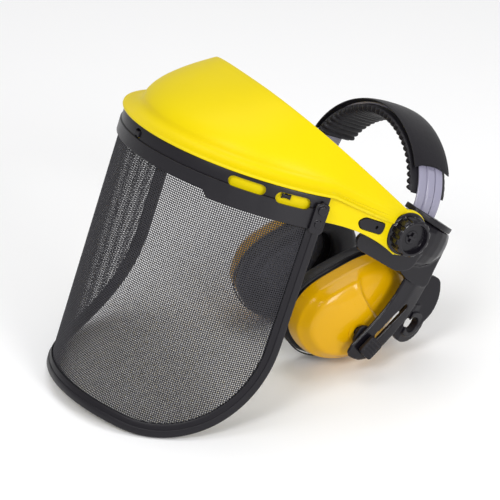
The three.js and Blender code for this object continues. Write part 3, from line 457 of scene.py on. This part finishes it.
def brow_guard():
    shares = np.linspace(-1, 1, 161)
    outside = brow_outside(shares)
    up = np.gradient(outside, axis=1)
    along = np.gradient(outside, axis=0)
    inward = np.cross(up, along)
    inward /= np.linalg.norm(inward, axis=2, keepdims=True)
    guard = loft("brow_shell", with_round_rim(outside, outside + SHELL * inward), VISOR_FRAME)
    combine(guard, brow_wall(), "UNION")
    centre = (PIVOT["y"], PIVOT["z"])
    inner, outer, radius = RING["inner"], RING["outer"], RING["radius"]
    profile = [(inner, radius - 0.4), (inner + 0.4, radius), (outer - 0.6, radius), (outer, radius - 0.6)]
    for side in (1, -1):
        ring = ring_lathe("ring", [(side * x, r) for x, r in profile], centre, VISOR_FRAME)
        combine(guard, ring, "UNION")
    for side in (1, -1):
        seat_disc = disc(KNOB["flange"] + 1.5)
        seat = prism("seat", seat_disc, along_x(*centre), side * outer, side * 130, VISOR_FRAME)
        combine(guard, seat, "DIFFERENCE")
    bore = prism("bore", disc(RING["bore"]), along_x(*centre), -130, 130, VISOR_FRAME)
    combine(guard, bore, "DIFFERENCE")
    combine(guard, into_visor_frame(latch_prism(-12, 8)), "DIFFERENCE")
    combine(guard, into_visor_frame(flipped(latch_prism(-12, 8))), "DIFFERENCE")
    for hole in STUD_HOLES:
        drill = prism("drill", disc(1.9, 20), upright(hole["s"], hole["z"]), -8, 3, VISOR_FRAME)
        combine(guard, drill, "DIFFERENCE")
    return guard


# ---- Visor -------------------------------------------------------------------------------------
def carrier():
    half, start, end = CARRIER["half_length"], CARRIER["step_start"], CARRIER["step_end"]
    side = np.concatenate([np.linspace(start, end, 9), np.linspace(end, half, 50)[1:]])
    s = np.concatenate([-side[::-1], np.linspace(-start, start, 80)[1:-1], side])
    foot = lerp(CARRIER["foot_front"], CARRIER["foot_side"], smoothstep(np.abs(s), start, end))
    outer, inner, top, step = CARRIER["outer"], CARRIER["inner"], CARRIER["top"], CARRIER["step"]
    low, high = CARRIER["flange_inner"], CARRIER["flange_outer"]
    section = [(outer - 0.7, top), (outer - 0.2, top - 0.2), (outer, top - 0.7), (outer, step + 0.3),
               (outer - 0.25, step + 0.1), (outer - 0.25, step - 0.15), (high - 0.3, step - 0.45),
               (high, step - 0.8), (high, None), (high - 0.3, None), (low + 0.3, None), (low, None),
               (low, step + 0.2), (inner, step + 0.8), (inner, top - 0.3), (inner + 0.3, top)]
    lifts = iter([0.3, 0, 0, 0.3])
    rows = [on_plan(s, offset, foot + next(lifts) if z is None else np.full(len(s), z))
            for offset, z in section]
    strip = loft("carrier_strip", np.stack(rows, 1), VISOR_FRAME)
    cuts = [FRONT_HOLE] + [{**slot, "s": side * slot["s"]} for slot in SLOTS for side in (1, -1)]
    for cut in cuts:
        outline = rounded_slot(cut["length"], cut["height"])
        tool = prism("slot", outline, upright(cut["s"], cut["z"]), -3, 5, VISOR_FRAME)
        combine(strip, tool, "DIFFERENCE")
    for side in (1, -1):
        pin = prism("pin", disc(CLIP_PIN["radius"], 20), upright(side * CLIP_PIN["s"], CLIP_PIN["z"]), -3, 5,
                    VISOR_FRAME)
        combine(strip, pin, "DIFFERENCE")
    return strip


def visor_foot(s):
    """Height of the visor's lower edge at a distance along the plan."""
    past = np.clip(np.abs(s) - (VISOR["half_length"] - VISOR["corner"]), 0, VISOR["corner"])
    return -VISOR["drop"] + VISOR["corner"] - np.sqrt(VISOR["corner"] ** 2 - past**2)


def visor_reach(z):
    """Half the visor's length along the plan at a height."""
    low = np.clip(-VISOR["drop"] + VISOR["corner"] - np.asarray(z, float), 0, VISOR["corner"])
    return VISOR["half_length"] - VISOR["corner"] + np.sqrt(VISOR["corner"] ** 2 - low**2)


def wire(s, z, lift, flat):
    """A flattened wire through points on the plan's surface; flat says which way it runs."""
    half, thick = WEAVE["width"] / 2, WEAVE["thick"] / 2
    across = [(half, 0), (0, thick), (-half, 0), (0, -thick)]
    rings = [on_plan(s + (0 if flat else a), lift + b, z + (a if flat else 0)) for a, b in across]
    return np.stack(rings, 1)


def wire_set(name, wires):
    """One object that holds every wire of a set, each closed at its ends."""
    spots, faces, start = [], [], 0
    for rings in wires:
        if len(rings) < 2:
            continue
        faces += (np.array(ring_faces(len(rings), 4)) + start).tolist()
        last = start + 4 * (len(rings) - 1)
        faces += [[start + 3, start + 2, start + 1, start], [last, last + 1, last + 2, last + 3]]
        spots.append(rings.reshape(-1, 3))
        start += 4 * len(rings)
    return new_piece(name, np.concatenate(spots), faces, VISOR_FRAME)


def woven_visor():
    """Two sets of wires, each passing over and under the other in turn."""
    pitch, wave = WEAVE["pitch"], WEAVE["wave"]
    columns = int(VISOR["half_length"] / pitch)
    levels = np.arange(VISOR["top"], -VISOR["drop"] + 1.0, -pitch)
    upright_wires, level_wires = [], []
    for column in range(-columns, columns + 1):
        s = column * pitch
        z = levels[levels > visor_foot(s) + WEAVE["inset"]]
        turn = np.arange(len(z)) + column
        upright_wires.append(wire(np.full(len(z), s), z, wave * (1 - 2 * (turn % 2)), False))
    for row, level in enumerate(levels[1:], 1):
        reach = int((visor_reach(level) - WEAVE["inset"]) / pitch)
        column = np.arange(-reach, reach + 1)
        lift = -wave * (1 - 2 * ((column + row) % 2))
        level_wires.append(wire(column * pitch, np.full(len(column), level), lift, True))
    return wire_set("upright_wires", upright_wires), wire_set("level_wires", level_wires)


def edge_path():
    """The visor's edge on the flat sheet: points, and at each the direction into the sheet."""
    half, corner, drop = VISOR["half_length"], VISOR["corner"], VISOR["drop"]
    centre_s, centre_z = half - corner, -drop + corner
    side = [(half, z, -1, 0) for z in np.linspace(TRIM["top"], centre_z, 22)[:-1]]
    for angle in np.linspace(0, math.pi / 2, 45):
        ds, dz = -math.cos(angle), math.sin(angle)
        side.append((centre_s - corner * ds, centre_z - corner * dz, ds, dz))
    foot = [(s, -drop, 0, 1) for s in np.linspace(centre_s, -centre_s, 46)[1:-1]]
    return np.array(side + foot + [(-s, z, -ds, dz) for s, z, ds, dz in reversed(side)])


def edge_trim():
    depth, lip, half, groove = TRIM["depth"], TRIM["lip"], TRIM["half"], TRIM["groove"]
    edge = [(-lip, -half + 1.4), (-lip + 0.3, -half + 0.5), (-lip + 1.1, -half), (depth * 0.44, -half),
            (depth * 0.48, -half + 0.2), (depth * 0.5, -half + 0.75), (depth * 0.56, -half + 0.8),
            (depth - 0.6, -half + 0.9), (depth, -half + 1.3), (depth, -groove - 0.2), (depth - 0.3, -groove),
            (0.3, -groove)]
    section = edge + [(a, -b) for a, b in reversed(edge)]
    s, z, ds, dz = edge_path().T
    rows = np.stack([on_plan(s + a * ds, b, z + a * dz) for a, b in section], 1)
    return loft("edge_channel", rows, VISOR_FRAME)


# ---- Knobs -------------------------------------------------------------------------------------
def clamp_knob():
    """A ribbed grip with a flange at its foot and a deep dished face that holds a raised cross."""
    inner, outer, radius, flange = (KNOB[key] for key in ("inner", "outer", "radius", "flange"))
    recess, floor_x = KNOB["recess"], KNOB["floor"]
    turn = np.arange(KNOB["ribs"] * 20) * 2 * math.pi / (KNOB["ribs"] * 20)
    phase = (turn * KNOB["ribs"] / (2 * math.pi)) % 1
    groove = KNOB["rib"] * (1 - smoothstep(np.abs(phase - 0.5), 0.16, 0.26))
    profile = [
        (inner, 5, 0), (inner, flange - 0.5, 0), (inner + 0.15, flange - 0.15, 0), (inner + 0.5, flange, 0),
        (inner + 1.1, flange, 0), (inner + 1.45, flange - 0.2, 0), (inner + 1.6, flange - 0.6, 0),
        (inner + 1.65, radius + 0.3, 0), (inner + 1.9, radius, 0.2), (inner + 2.3, radius, 1),
        (inner + 6, radius, 1), (outer - 2.4, radius - 0.1, 1), (outer - 1.5, radius - 0.3, 0.9),
        (outer - 0.8, radius - 0.8, 0.5), (outer - 0.25, radius - 1.5, 0.15), (outer, radius - 2.3, 0),
        (outer, recess + 0.6, 0), (outer - 0.15, recess + 0.2, 0), (outer - 0.6, recess, 0),
        (floor_x + 0.5, recess - 0.2, 0), (floor_x + 0.1, recess - 0.5, 0), (floor_x, recess - 1.2, 0),
        (floor_x, 5.6, 0), (floor_x + 0.3, 5.3, 0), (floor_x + 0.35, 4.8, 0), (floor_x + 0.35, 0.4, 0),
    ]
    rows = []
    for x, r, share in profile:
        reach = r - share * groove
        rows.append(np.stack([np.full(len(turn), x), reach * np.cos(turn), reach * np.sin(turn)], -1))
    rows = np.array(rows) + np.array([0, pivot_in_headset[1], pivot_in_headset[2]])
    grip = loft("knob_grip", rows, HEADSET_FRAME)
    centre = along_x(pivot_in_headset[1], pivot_in_headset[2])
    long, thin = KNOB["cross"], KNOB["cross_bar"]
    for length, height in ((long, thin), (thin, long)):
        bar = soft_outline(
            [(-length / 2, -height / 2), (length / 2, -height / 2), (length / 2, height / 2),
             (-length / 2, height / 2)], 0.7)
        combine(grip, prism("bar", bar, centre, floor_x - 0.2, floor_x + 1.9, HEADSET_FRAME), "UNION")
    bore = prism("bore", disc(BOLT["bore"]), centre, inner - 1, BOLT["depth"], HEADSET_FRAME)
    return combine(grip, bore, "DIFFERENCE")


# ---- Moulded pieces taken from their CAD solids -------------------------------------------------
def moulded(node, name, voxel, passes):
    """A copy of a CAD solid with its edges rounded as moulding leaves them."""
    piece = bpy.data.objects.new(name, frame["nodes"][node].data.copy())
    bpy.context.scene.collection.objects.link(piece)
    remesh = piece.modifiers.new("remesh", "REMESH")
    remesh.mode = "VOXEL"
    remesh.voxel_size = voxel * MM
    smooth = piece.modifiers.new("smooth", "SMOOTH")
    smooth.factor = 0.5
    smooth.iterations = passes
    return settle(piece)


# ---- Ear cups ----------------------------------------------------------------------------------
CUP_CORNERS = [(50, 22), (42, 0), (23, -20), (-7, -40), (-34, -37),
               (-48, -13), (-46, 10), (-34, 31), (-7, 44), (32, 45)]


def cup_loop(x, scale, count=112):
    """The cup's outline at a depth x, scaled about the cup's middle."""
    outline = smooth_curve([(y, z) for z, y in CUP_CORNERS], count, closed=True) * scale
    return np.column_stack([np.full(count, x), CUP["y"] + outline[:, 0], CUP["z"] + outline[:, 1]])


def face_relief(y, z):
    """Depth of the hollow that the strap passes through, ended by a raised curved crest."""
    ridge = RELIEF["y"] + RELIEF["curve"] * (z - RELIEF["z"]) ** 2
    hollow = RELIEF["depth"] * smoothstep(y, ridge, ridge + RELIEF["fade"])
    crest = RELIEF["crest"] * np.exp(-(((y - ridge) / RELIEF["crest_width"]) ** 2))
    near = -np.abs(z - RELIEF["crest_z"])
    return hollow - crest * smoothstep(near, -RELIEF["crest_end"], -RELIEF["crest_full"])


def cup_shell():
    depth = CUP["face"] - CUP["rim"]
    profile = smooth_curve([
        (0, 1.0), (0.10, 1.0), (0.28, 0.985), (0.42, 0.965), (0.47, 0.945), (0.52, 0.92), (0.72, 0.835),
        (0.77, 0.80), (0.81, 0.75), (0.90, 0.55), (0.96, 0.33), (0.99, 0.16), (1.0, 0.012)], 84)
    outside = []
    for share, scale in profile:
        loop = cup_loop(CUP["rim"] + share * depth, scale)
        loop[:, 0] -= smoothstep(share, RELIEF["from"], RELIEF["to"]) * face_relief(loop[:, 1], loop[:, 2])
        outside.append(loop)
    shrink = CUP["wall"] / CUP["radius"]
    inside_depth = depth - CUP["wall"] - CUP["spare"]
    inside = [cup_loop(CUP["rim"] + share * inside_depth, max(scale - shrink, 0.012))
              for share, scale in profile[:-1:3]]
    rows = np.array(outside[::-1] + [cup_loop(CUP["rim"] - 0.3, 0.985)] + inside)
    shell = loft("cup_body", rows, HEADSET_FRAME)
    return ball_socket(shell)


def ball_socket(shell):
    """A boss inside the cup's face, hollowed for the slider's ball, with a mouth for its neck."""
    centre = along_x(BALL["y"], BALL["z"])
    face = CUP["face"]
    boss = prism("boss", disc(BALL["boss"]), centre, face - BALL["boss_depth"], face - 0.6, HEADSET_FRAME)
    combine(shell, boss, "UNION")
    turns = np.linspace(0.02, math.pi - 0.02, 25)
    profile = [(BALL["x"] - BALL["socket"] * math.cos(a), BALL["socket"] * math.sin(a)) for a in turns]
    combine(shell, ring_lathe("socket", profile, (BALL["y"], BALL["z"]), HEADSET_FRAME, 32), "DIFFERENCE")
    mouth = prism("mouth", disc(BALL["mouth"]), centre, BALL["x"], face + 6, HEADSET_FRAME)
    return combine(shell, mouth, "DIFFERENCE")


def cushion_rings(grow, sides, count):
    inner, outer, hole = CUSHION["inner"] - grow, CUSHION["outer"] + grow, CUSHION["hole"]
    middle, half = (inner + outer) / 2, (outer - inner) / 2
    centre = (1 + hole) / 2 * CUSHION["scale"]
    reach = (1 - hole) / 2 * CUSHION["scale"] + grow / CUP["radius"]
    rows = []
    for angle in np.arange(sides) * 2 * math.pi / sides:
        c, s = (math.copysign(abs(v) ** CUSHION["squareness"], v) for v in (math.cos(angle), math.sin(angle)))
        rows.append(cup_loop(middle + half * s, centre + reach * c, count))
    return np.array(rows) - np.array([0, 0, CUSHION["drop"]])


def pillow(piece, voxel, cap, pressure, frames):
    """Blows a closed soft form up with cloth under pressure, with each point's travel capped."""
    remesh = piece.modifiers.new("remesh", "REMESH")
    remesh.mode = "VOXEL"
    remesh.voxel_size = voxel * MM
    settle(piece)
    start = np.array([v.co for v in piece.data.vertices])
    cloth = piece.modifiers.new("cloth", "CLOTH")
    cloth.settings.use_pressure = True
    cloth.settings.uniform_pressure_force = pressure
    cloth.settings.effector_weights.gravity = 0
    cloth.point_cache.frame_start, cloth.point_cache.frame_end = 1, frames
    for step in range(1, frames + 1):
        bpy.context.scene.frame_set(step)
    settle(piece)
    bpy.context.scene.frame_set(1)
    end = np.array([v.co for v in piece.data.vertices])
    travel = np.linalg.norm(end - start, axis=1, keepdims=True)
    end = start + (end - start) * np.minimum(1, cap * MM / np.maximum(travel, 1e-9))
    piece.data.vertices.foreach_set("co", end.astype(np.float32).ravel())
    return piece


def tube(name, path, radius, place, sides=8, loop=False):
    """A thin round tube along points."""
    path = np.asarray(path, float)
    step = np.roll(path, -1, 0) - np.roll(path, 1, 0) if loop else np.gradient(path, axis=0)
    step /= np.linalg.norm(step, axis=1, keepdims=True)
    side = np.cross(step, (1.0, 0.013, 0.007))
    side /= np.linalg.norm(side, axis=1, keepdims=True)
    lift = np.cross(step, side)
    turns = np.arange(sides) * 2 * math.pi / sides
    rows = np.stack([path + radius * (math.cos(t) * side + math.sin(t) * lift) for t in turns], 1)
    return loft(name, rows, place, loop)


def ear_cushion():
    """A soft vinyl ring: blown up by cloth, then smoothed, with its weld seam round the outside."""
    cushion = loft("cushion_body", cushion_rings(-CUSHION["swell_room"], 16, 72), HEADSET_FRAME, loop=True)
    pillow(cushion, **CLOTH)
    smooth = cushion.modifiers.new("smooth", "SMOOTH")
    smooth.iterations = 3
    cushion.modifiers.new("fine", "SUBSURF").levels = 1
    cushion.modifiers["fine"].render_levels = 1
    settle(cushion)
    path = cup_loop(CUSHION["outer"] - 1.2, CUSHION["scale"] * 0.985) - np.array([0, 0, CUSHION["drop"]])
    seam = tube("seam", path, CUSHION["seam"], HEADSET_FRAME, loop=True)
    return joined(cushion, seam)


def ear_foam():
    """A thin slab of foam with rows of dimples on the side that faces the ear."""
    face = [(share, 0) for share in np.linspace(0.06, 0.97, 30)]
    rings = [(0.02, 0), *face, (1, 0.4), (1, 0.8), (0.99, 1), (0.5, 1), (0.02, 1)]
    rows = []
    for share, deep in rings:
        loop = cup_loop(0, FOAM["scale"] * share)
        loop[:, 0] = lerp(FOAM["inner"], FOAM["outer"], deep)
        if deep == 0:
            dimple = np.sin(loop[:, 1] * FOAM["dimple"]) * np.sin(loop[:, 2] * FOAM["dimple"])
            loop[:, 0] += 0.5 + 0.5 * dimple * smoothstep(1 - share, 0, 0.06)
        rows.append(loop)
    return loft("foam_slab", rows, HEADSET_FRAME)


# ---- Headband ----------------------------------------------------------------------------------
def arch_table():
    turn = np.linspace(0.0001, 0.9999, 400) * math.pi
    bend = 2 / ARCH["power"]
    c, s = np.cos(turn), np.sin(turn)
    x = ARCH["half_width"] * np.sign(c) * np.abs(c) ** bend
    z = ARCH["height"] * np.abs(s) ** bend
    run = np.concatenate([[0], np.cumsum(np.hypot(np.diff(x), np.diff(z)))])
    return run, x, z


ARCH_RUN, ARCH_X, ARCH_Z = arch_table()
ARCH_LENGTH = ARCH_RUN[-1]


def on_arch(distance, depth, y):
    """Points at distances from the left foot, moved inward by depths and back by y."""
    distance, depth, y = np.broadcast_arrays(np.asarray(distance, float), depth, y)
    inside = np.clip(distance, 0, ARCH_LENGTH)
    x, z = np.interp(inside, ARCH_RUN, ARCH_X), np.interp(inside, ARCH_RUN, ARCH_Z)
    tx = np.interp(inside, ARCH_RUN, np.gradient(ARCH_X, ARCH_RUN))
    tz = np.interp(inside, ARCH_RUN, np.gradient(ARCH_Z, ARCH_RUN))
    near = np.minimum(inside, ARCH_LENGTH - inside)
    upright_share = 1 - smoothstep(near, 0.5, 3)
    up = np.where(distance < ARCH_LENGTH / 2, 1.0, -1.0)
    tx, tz = lerp(tx, 0, upright_share), lerp(tz, up, upright_share)
    size = np.hypot(tx, tz)
    below = np.minimum(distance, 0) + np.minimum(ARCH_LENGTH - distance, 0)
    return np.stack([x - tz / size * depth, y, z + tx / size * depth + below], -1)


def spring_band():
    top, thick, half, ridge = BAND["top"], BAND["thick"], BAND["width"] / 2, BAND["ridge"]
    wide = BAND["ridge_width"] / 2
    edge = [(top + 0.4, -half), (top + 0.1, -half + 0.4), (top, -half + 1), (top, -wide - 1.5)]
    groove = [(top + 0.1, -wide - 1.3), (top + 0.8, -wide - 1.1), (top + 0.8, -wide - 0.4),
              (top + 0.1, -wide - 0.2)]
    middle_rib = [(top - ridge + 0.2, -wide + 0.5), (top - ridge, -wide + 1.1)]
    crown = edge + groove + middle_rib
    foot = [(top + thick, half - 0.4), (top + thick, -half + 0.4)]
    section = crown + [(a, -b) for a, b in reversed(crown)] + foot
    distance = np.linspace(-BAND["leg"], ARCH_LENGTH + BAND["leg"], 181)
    into_cover = np.minimum(distance - COVER["left_end"], ARCH_LENGTH - COVER["right_end"] - distance)
    covered = smoothstep(into_cover, -1, 1)
    rows = [on_arch(distance, lerp(a, max(a, top), covered), b) for a, b in section]
    return loft("band_strip", np.stack(rows, 1), BAND_FRAME)


def band_cover():
    """The smooth vinyl top of the headband's sleeve, cut back in a curve over the band at each end."""
    half, thick = COVER["width"] / 2, COVER["thick"]
    y = np.concatenate([np.linspace(-half, half, 17), np.linspace(half - 0.6, -half + 0.6, 9)])
    crown = COVER["crown"] + COVER["crown_fall"] * np.abs(y / half) ** 2.4
    depth = np.where(np.arange(len(y)) < 17, crown, thick)
    depth[[0, 16]] = thick * 0.5
    notch = COVER["notch"] * (1 - (y / half) ** 2) - 2
    share = np.linspace(0, 1, 121)
    left, right = COVER["left_end"], ARCH_LENGTH - COVER["right_end"]
    rows = [on_arch(lerp(left + a, right - a, share), b, c) for a, b, c in zip(notch, depth, y)]
    cover = loft("cover_skin", np.stack(rows, 1), BAND_FRAME)
    line = np.linspace(left, right, 120)
    edges = [on_arch(line, 1.0, side * (half - 0.2)) for side in (-1, 1)]
    seams = [tube("seam", edge, COVER["seam"], BAND_FRAME) for edge in edges]
    return joined(cover, *seams)


def band_pad():
    """The fluted cushion under the band: soft cross ribs that swell between stitched grooves."""
    base, thick, half = BAND["top"] + BAND["thick"] + 0.3, PAD["thick"], PAD["width"] / 2
    left, right = PAD["left_end"], ARCH_LENGTH - PAD["right_end"]
    distance = np.linspace(left, right, 421)
    swell = np.abs(np.sin(math.pi * distance / PAD["flute"])) ** 0.7
    ends = smoothstep(np.minimum(distance - left, right - distance), -1, 5)
    rows = []
    for angle in np.arange(36) * 2 * math.pi / 36:
        c, s = (math.copysign(abs(v) ** PAD["squareness"], v) for v in (math.cos(angle), math.sin(angle)))
        deep = 0.5 + 0.5 * s
        flute = PAD["depth"] * (swell - 1) * smoothstep(deep, 0.1, 0.6)
        depth = base + (thick * (0.35 + 0.65 * ends) + flute) * deep
        side = (half + flute * abs(c) - 1.2 * (1 - ends)) * c
        rows.append(on_arch(distance, depth, side))
    return loft("pad_body", np.stack(rows, 1), BAND_FRAME)


# ---- Materials ---------------------------------------------------------------------------------
def material(name, colour, roughness, mottle=0.05, patch=22, grain=1800, bump=0.08, rough_shift=0.06,
             wear_and_edge_highlight=0.0, metallic=0.0, coat=0.0, coat_roughness=0.1, sheen=0.0, specular=0.5, cells=False):
    """A procedural finish: patchy colour, grain in the bump, drifting gloss, and paler edges that are partly
    wear and partly a painted highlight.
    """
    made = bpy.data.materials.new(name)
    made.use_nodes = True
    nodes, links = made.node_tree.nodes, made.node_tree.links
    shader = nodes["Principled BSDF"]
    shader.inputs["Metallic"].default_value = metallic
    shader.inputs["Coat Weight"].default_value = coat
    shader.inputs["Coat Roughness"].default_value = coat_roughness
    shader.inputs["Sheen Weight"].default_value = sheen
    shader.inputs["Specular IOR Level"].default_value = specular
    place = nodes.new("ShaderNodeTexCoord").outputs["Object"]

    def noise(scale, detail):
        node = nodes.new("ShaderNodeTexNoise")
        node.inputs["Scale"].default_value = scale
        node.inputs["Detail"].default_value = detail
        links.new(place, node.inputs["Vector"])
        return node.outputs["Fac"]

    def mix(factor, first, second):
        node = nodes.new("ShaderNodeMix")
        node.data_type = "RGBA"
        links.new(factor, node.inputs["Factor"])
        for socket, value in ((node.inputs["A"], first), (node.inputs["B"], second)):
            if isinstance(value, tuple):
                socket.default_value = (*value, 1)
            else:
                links.new(value, socket)
        return node.outputs["Result"]

    dark, light = (tuple(channel * (1 + sign * mottle) for channel in colour) for sign in (-1, 1))
    base = mix(noise(patch, 4), dark, light)
    # Convex edges are made paler by pointiness: partly edge wear, partly a painted highlight along every
    # edge.
    if wear_and_edge_highlight:
        edges = nodes.new("ShaderNodeMapRange")
        edges.inputs["From Min"].default_value, edges.inputs["From Max"].default_value = 0.52, 0.62
        edges.inputs["To Max"].default_value = wear_and_edge_highlight
        links.new(nodes.new("ShaderNodeNewGeometry").outputs["Pointiness"], edges.inputs["Value"])
        base = mix(edges.outputs["Result"], base, tuple(0.5 * channel + 0.25 for channel in colour))
    links.new(base, shader.inputs["Base Color"])
    gloss = nodes.new("ShaderNodeMapRange")
    gloss.inputs["To Min"].default_value = max(0.02, roughness - rough_shift)
    gloss.inputs["To Max"].default_value = roughness + rough_shift
    links.new(noise(patch * 4, 3), gloss.inputs["Value"])
    links.new(gloss.outputs["Result"], shader.inputs["Roughness"])
    if cells:
        texture = nodes.new("ShaderNodeTexVoronoi")
        texture.inputs["Scale"].default_value = grain
        links.new(place, texture.inputs["Vector"])
        height = texture.outputs["Distance"]
    else:
        height = noise(grain, 2)
    relief = nodes.new("ShaderNodeBump")
    relief.inputs["Strength"].default_value = bump
    relief.inputs["Distance"].default_value = 0.0004
    links.new(height, relief.inputs["Height"])
    links.new(relief.outputs["Normal"], shader.inputs["Normal"])
    return made


YELLOW = material("moulded_yellow", (0.71, 0.555, 0.0), 0.42, mottle=0.03, grain=1400, bump=0.05,
                  specular=0.12, wear_and_edge_highlight=0.08)
AMBER = material("moulded_amber", (0.69, 0.37, 0.0), 0.3, mottle=0.03, grain=900, bump=0.03, coat=0.4,
                 coat_roughness=0.1, specular=0.12, wear_and_edge_highlight=0.08)
BLACK = material("moulded_black", (0.008, 0.007, 0.010), 0.34, mottle=0.14, bump=0.12, specular=0.26,
                 wear_and_edge_highlight=0.06)
GLOSS = material("gloss_black", (0.007, 0.006, 0.009), 0.2, mottle=0.12, bump=0.05, specular=0.34, wear_and_edge_highlight=0.06)
RUBBER = material("rubber_black", (0.007, 0.006, 0.009), 0.42, mottle=0.15, bump=0.15, specular=0.24,
                  wear_and_edge_highlight=0.06)
WIRE = material("coated_wire", (0.026, 0.025, 0.031), 0.5, mottle=0.3, patch=60, bump=0.1, specular=0.4)
STEEL = material("zinc_steel", (0.6, 0.6, 0.62), 0.35, mottle=0.1, metallic=1.0, bump=0.1)
GREY = material("moulded_grey", (0.26, 0.25, 0.34), 0.3, mottle=0.05, bump=0.05, coat=0.3, wear_and_edge_highlight=0.2)
VINYL = material("soft_vinyl", (0.007, 0.006, 0.009), 0.44, mottle=0.25, patch=50, grain=900, bump=0.3,
                 sheen=0.03, specular=0.28, cells=True)
FOAM_GREY = material("open_foam", (0.14, 0.14, 0.17), 0.95, mottle=0.3, patch=120, grain=1300, bump=0.9,
                     cells=True)


# ---- The object --------------------------------------------------------------------------------
def both(make, name, node, finish, **how):
    """A piece for the wearer's left and its mirror image for the right."""
    left = make()
    left.name = f"{name}_left"
    right = mirrored(left, f"{name}_right")
    finished(left, f"{node}_left", finish, **how)
    finished(right, f"{node}_right", finish, **how)
    return left, right


finished(brow_guard(), "brow_guard", YELLOW, sharp=32)
finished(carrier(), "visor_carrier", BLACK, sharp=30)
for wires in woven_visor():
    finished(wires, "visor_mesh", WIRE, sharp=60)
finished(edge_trim(), "edge_trim", RUBBER, sharp=50)
both(clamp_knob, "knob_grip", "knob", GLOSS)
both(cup_shell, "cup_body", "cup_shell", AMBER, sharp=60)
for cushion in both(ear_cushion, "cushion_ring", "ear_cushion", VINYL, sharp=80):
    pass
for slab in both(ear_foam, "foam_slab", "ear_foam", FOAM_GREY, sharp=60):
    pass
finished(spring_band(), "spring_band", GREY, sharp=40)
finished(band_cover(), "band_cover", VINYL, sharp=60)
finished(band_pad(), "band_pad", VINYL, sharp=80)

MOULDED = [("arm", 0.75, 8, GLOSS), ("arm_collar", 0.55, 6, BLACK), ("lug_plate", 0.55, 5, BLACK),
           ("slider", 0.45, 4, BLACK)]
for node, voxel, passes, finish in MOULDED:
    both(lambda: moulded(f"{node}_left", node, voxel, passes), f"{node}_moulding", node, finish, sharp=70)
SMALL_VOXEL, SMALL_PASSES = 0.3, 3
SMALL = [("trim_clip", GLOSS), ("latch_insert", BLACK), ("carrier_stud", BLACK)]
for node, finish in SMALL:
    both(lambda: moulded(f"{node}_left", node, SMALL_VOXEL, SMALL_PASSES), f"{node}_moulding", node, finish,
         sharp=70)
front_clip = moulded("front_clip", "front_clip_moulding", SMALL_VOXEL, SMALL_PASSES)
finished(front_clip, "front_clip", BLACK, sharp=70)
for side in ("left", "right"):
    for node, finish in (("knob_bolt", STEEL), ("cup_back_plate", BLACK)):
        shown = frame["nodes"][f"{node}_{side}"]
        shown.data.materials.clear()
        shown.data.materials.append(finish)
        bevel = shown.modifiers.new("bevel", "BEVEL")
        bevel.width = 0.3 * MM
        bevel.segments = 2

# ---- Stage -------------------------------------------------------------------------------------
AIM = Vector(VISOR_FRAME[:3, 3] * MM)
CAMERA = {
    "azimuth": 60.601, "elevation": 24.396, "distance": 1.615744, "lens": 150.98, "sensor": 36.0,
    "right": -0.98568, "down": 5.63112,
}
SKY = 0.54
LIGHTS = [
    ("key", (1.1, -1.5, 1.9), (0.8, 0.8), 22),
    ("top", (-0.3, 0.1, 2.2), (1.4, 1.4), 14),
    ("side", (2.1, 0.1, 0.9), (0.6, 1.0), 24),
]
FLOOR_HALF = 12


def camera():
    """A camera turned off the aim point by the offsets, in millimetres on its sensor."""
    azimuth, elevation = math.radians(CAMERA["azimuth"]), math.radians(CAMERA["elevation"])
    back = Vector((math.sin(azimuth) * math.cos(elevation), -math.cos(azimuth) * math.cos(elevation),
                   math.sin(elevation)))
    data = bpy.data.cameras.new("camera")
    data.lens = CAMERA["lens"]
    data.sensor_width = CAMERA["sensor"]
    eye = bpy.data.objects.new("camera", data)
    eye.location = AIM + back * CAMERA["distance"]
    turn = (-back).to_track_quat("-Z", "Y")
    lens = CAMERA["lens"]
    middle = turn @ Vector((CAMERA["right"] / lens, -CAMERA["down"] / lens, -1))
    eye.rotation_mode = "QUATERNION"
    eye.rotation_quaternion = middle.to_track_quat("-Z", "Y")
    bpy.context.scene.collection.objects.link(eye)
    bpy.context.scene.camera = eye


def softbox(name, place, size, power):
    data = bpy.data.lights.new(name, "AREA")
    data.shape = "RECTANGLE"
    data.size, data.size_y = size
    data.energy = power
    lamp = bpy.data.objects.new(name, data)
    lamp.location = place
    lamp.rotation_mode = "QUATERNION"
    lamp.rotation_quaternion = (AIM - Vector(place)).to_track_quat("-Z", "Y")
    bpy.context.scene.collection.objects.link(lamp)


def floor():
    half = FLOOR_HALF
    corners = np.array([(-half, -half, 0), (half, -half, 0), (half, half, 0), (-half, half, 0)])
    plane = new_piece("floor", corners / MM, [[0, 1, 2, 3]])
    pale = material("pale_floor", (0.95, 0.95, 0.955), 0.8, mottle=0.004, patch=2, grain=300, bump=0.0)
    plane.data.materials.append(pale)


def world():
    made = bpy.data.worlds.new("studio")
    made.use_nodes = True
    made.node_tree.nodes["Background"].inputs["Color"].default_value = (1, 1, 1, 1)
    made.node_tree.nodes["Background"].inputs["Strength"].default_value = SKY
    bpy.context.scene.world = made


camera()
floor()
world()
for light in LIGHTS:
    softbox(*light)
bpy.context.scene.view_settings.view_transform = "Standard"
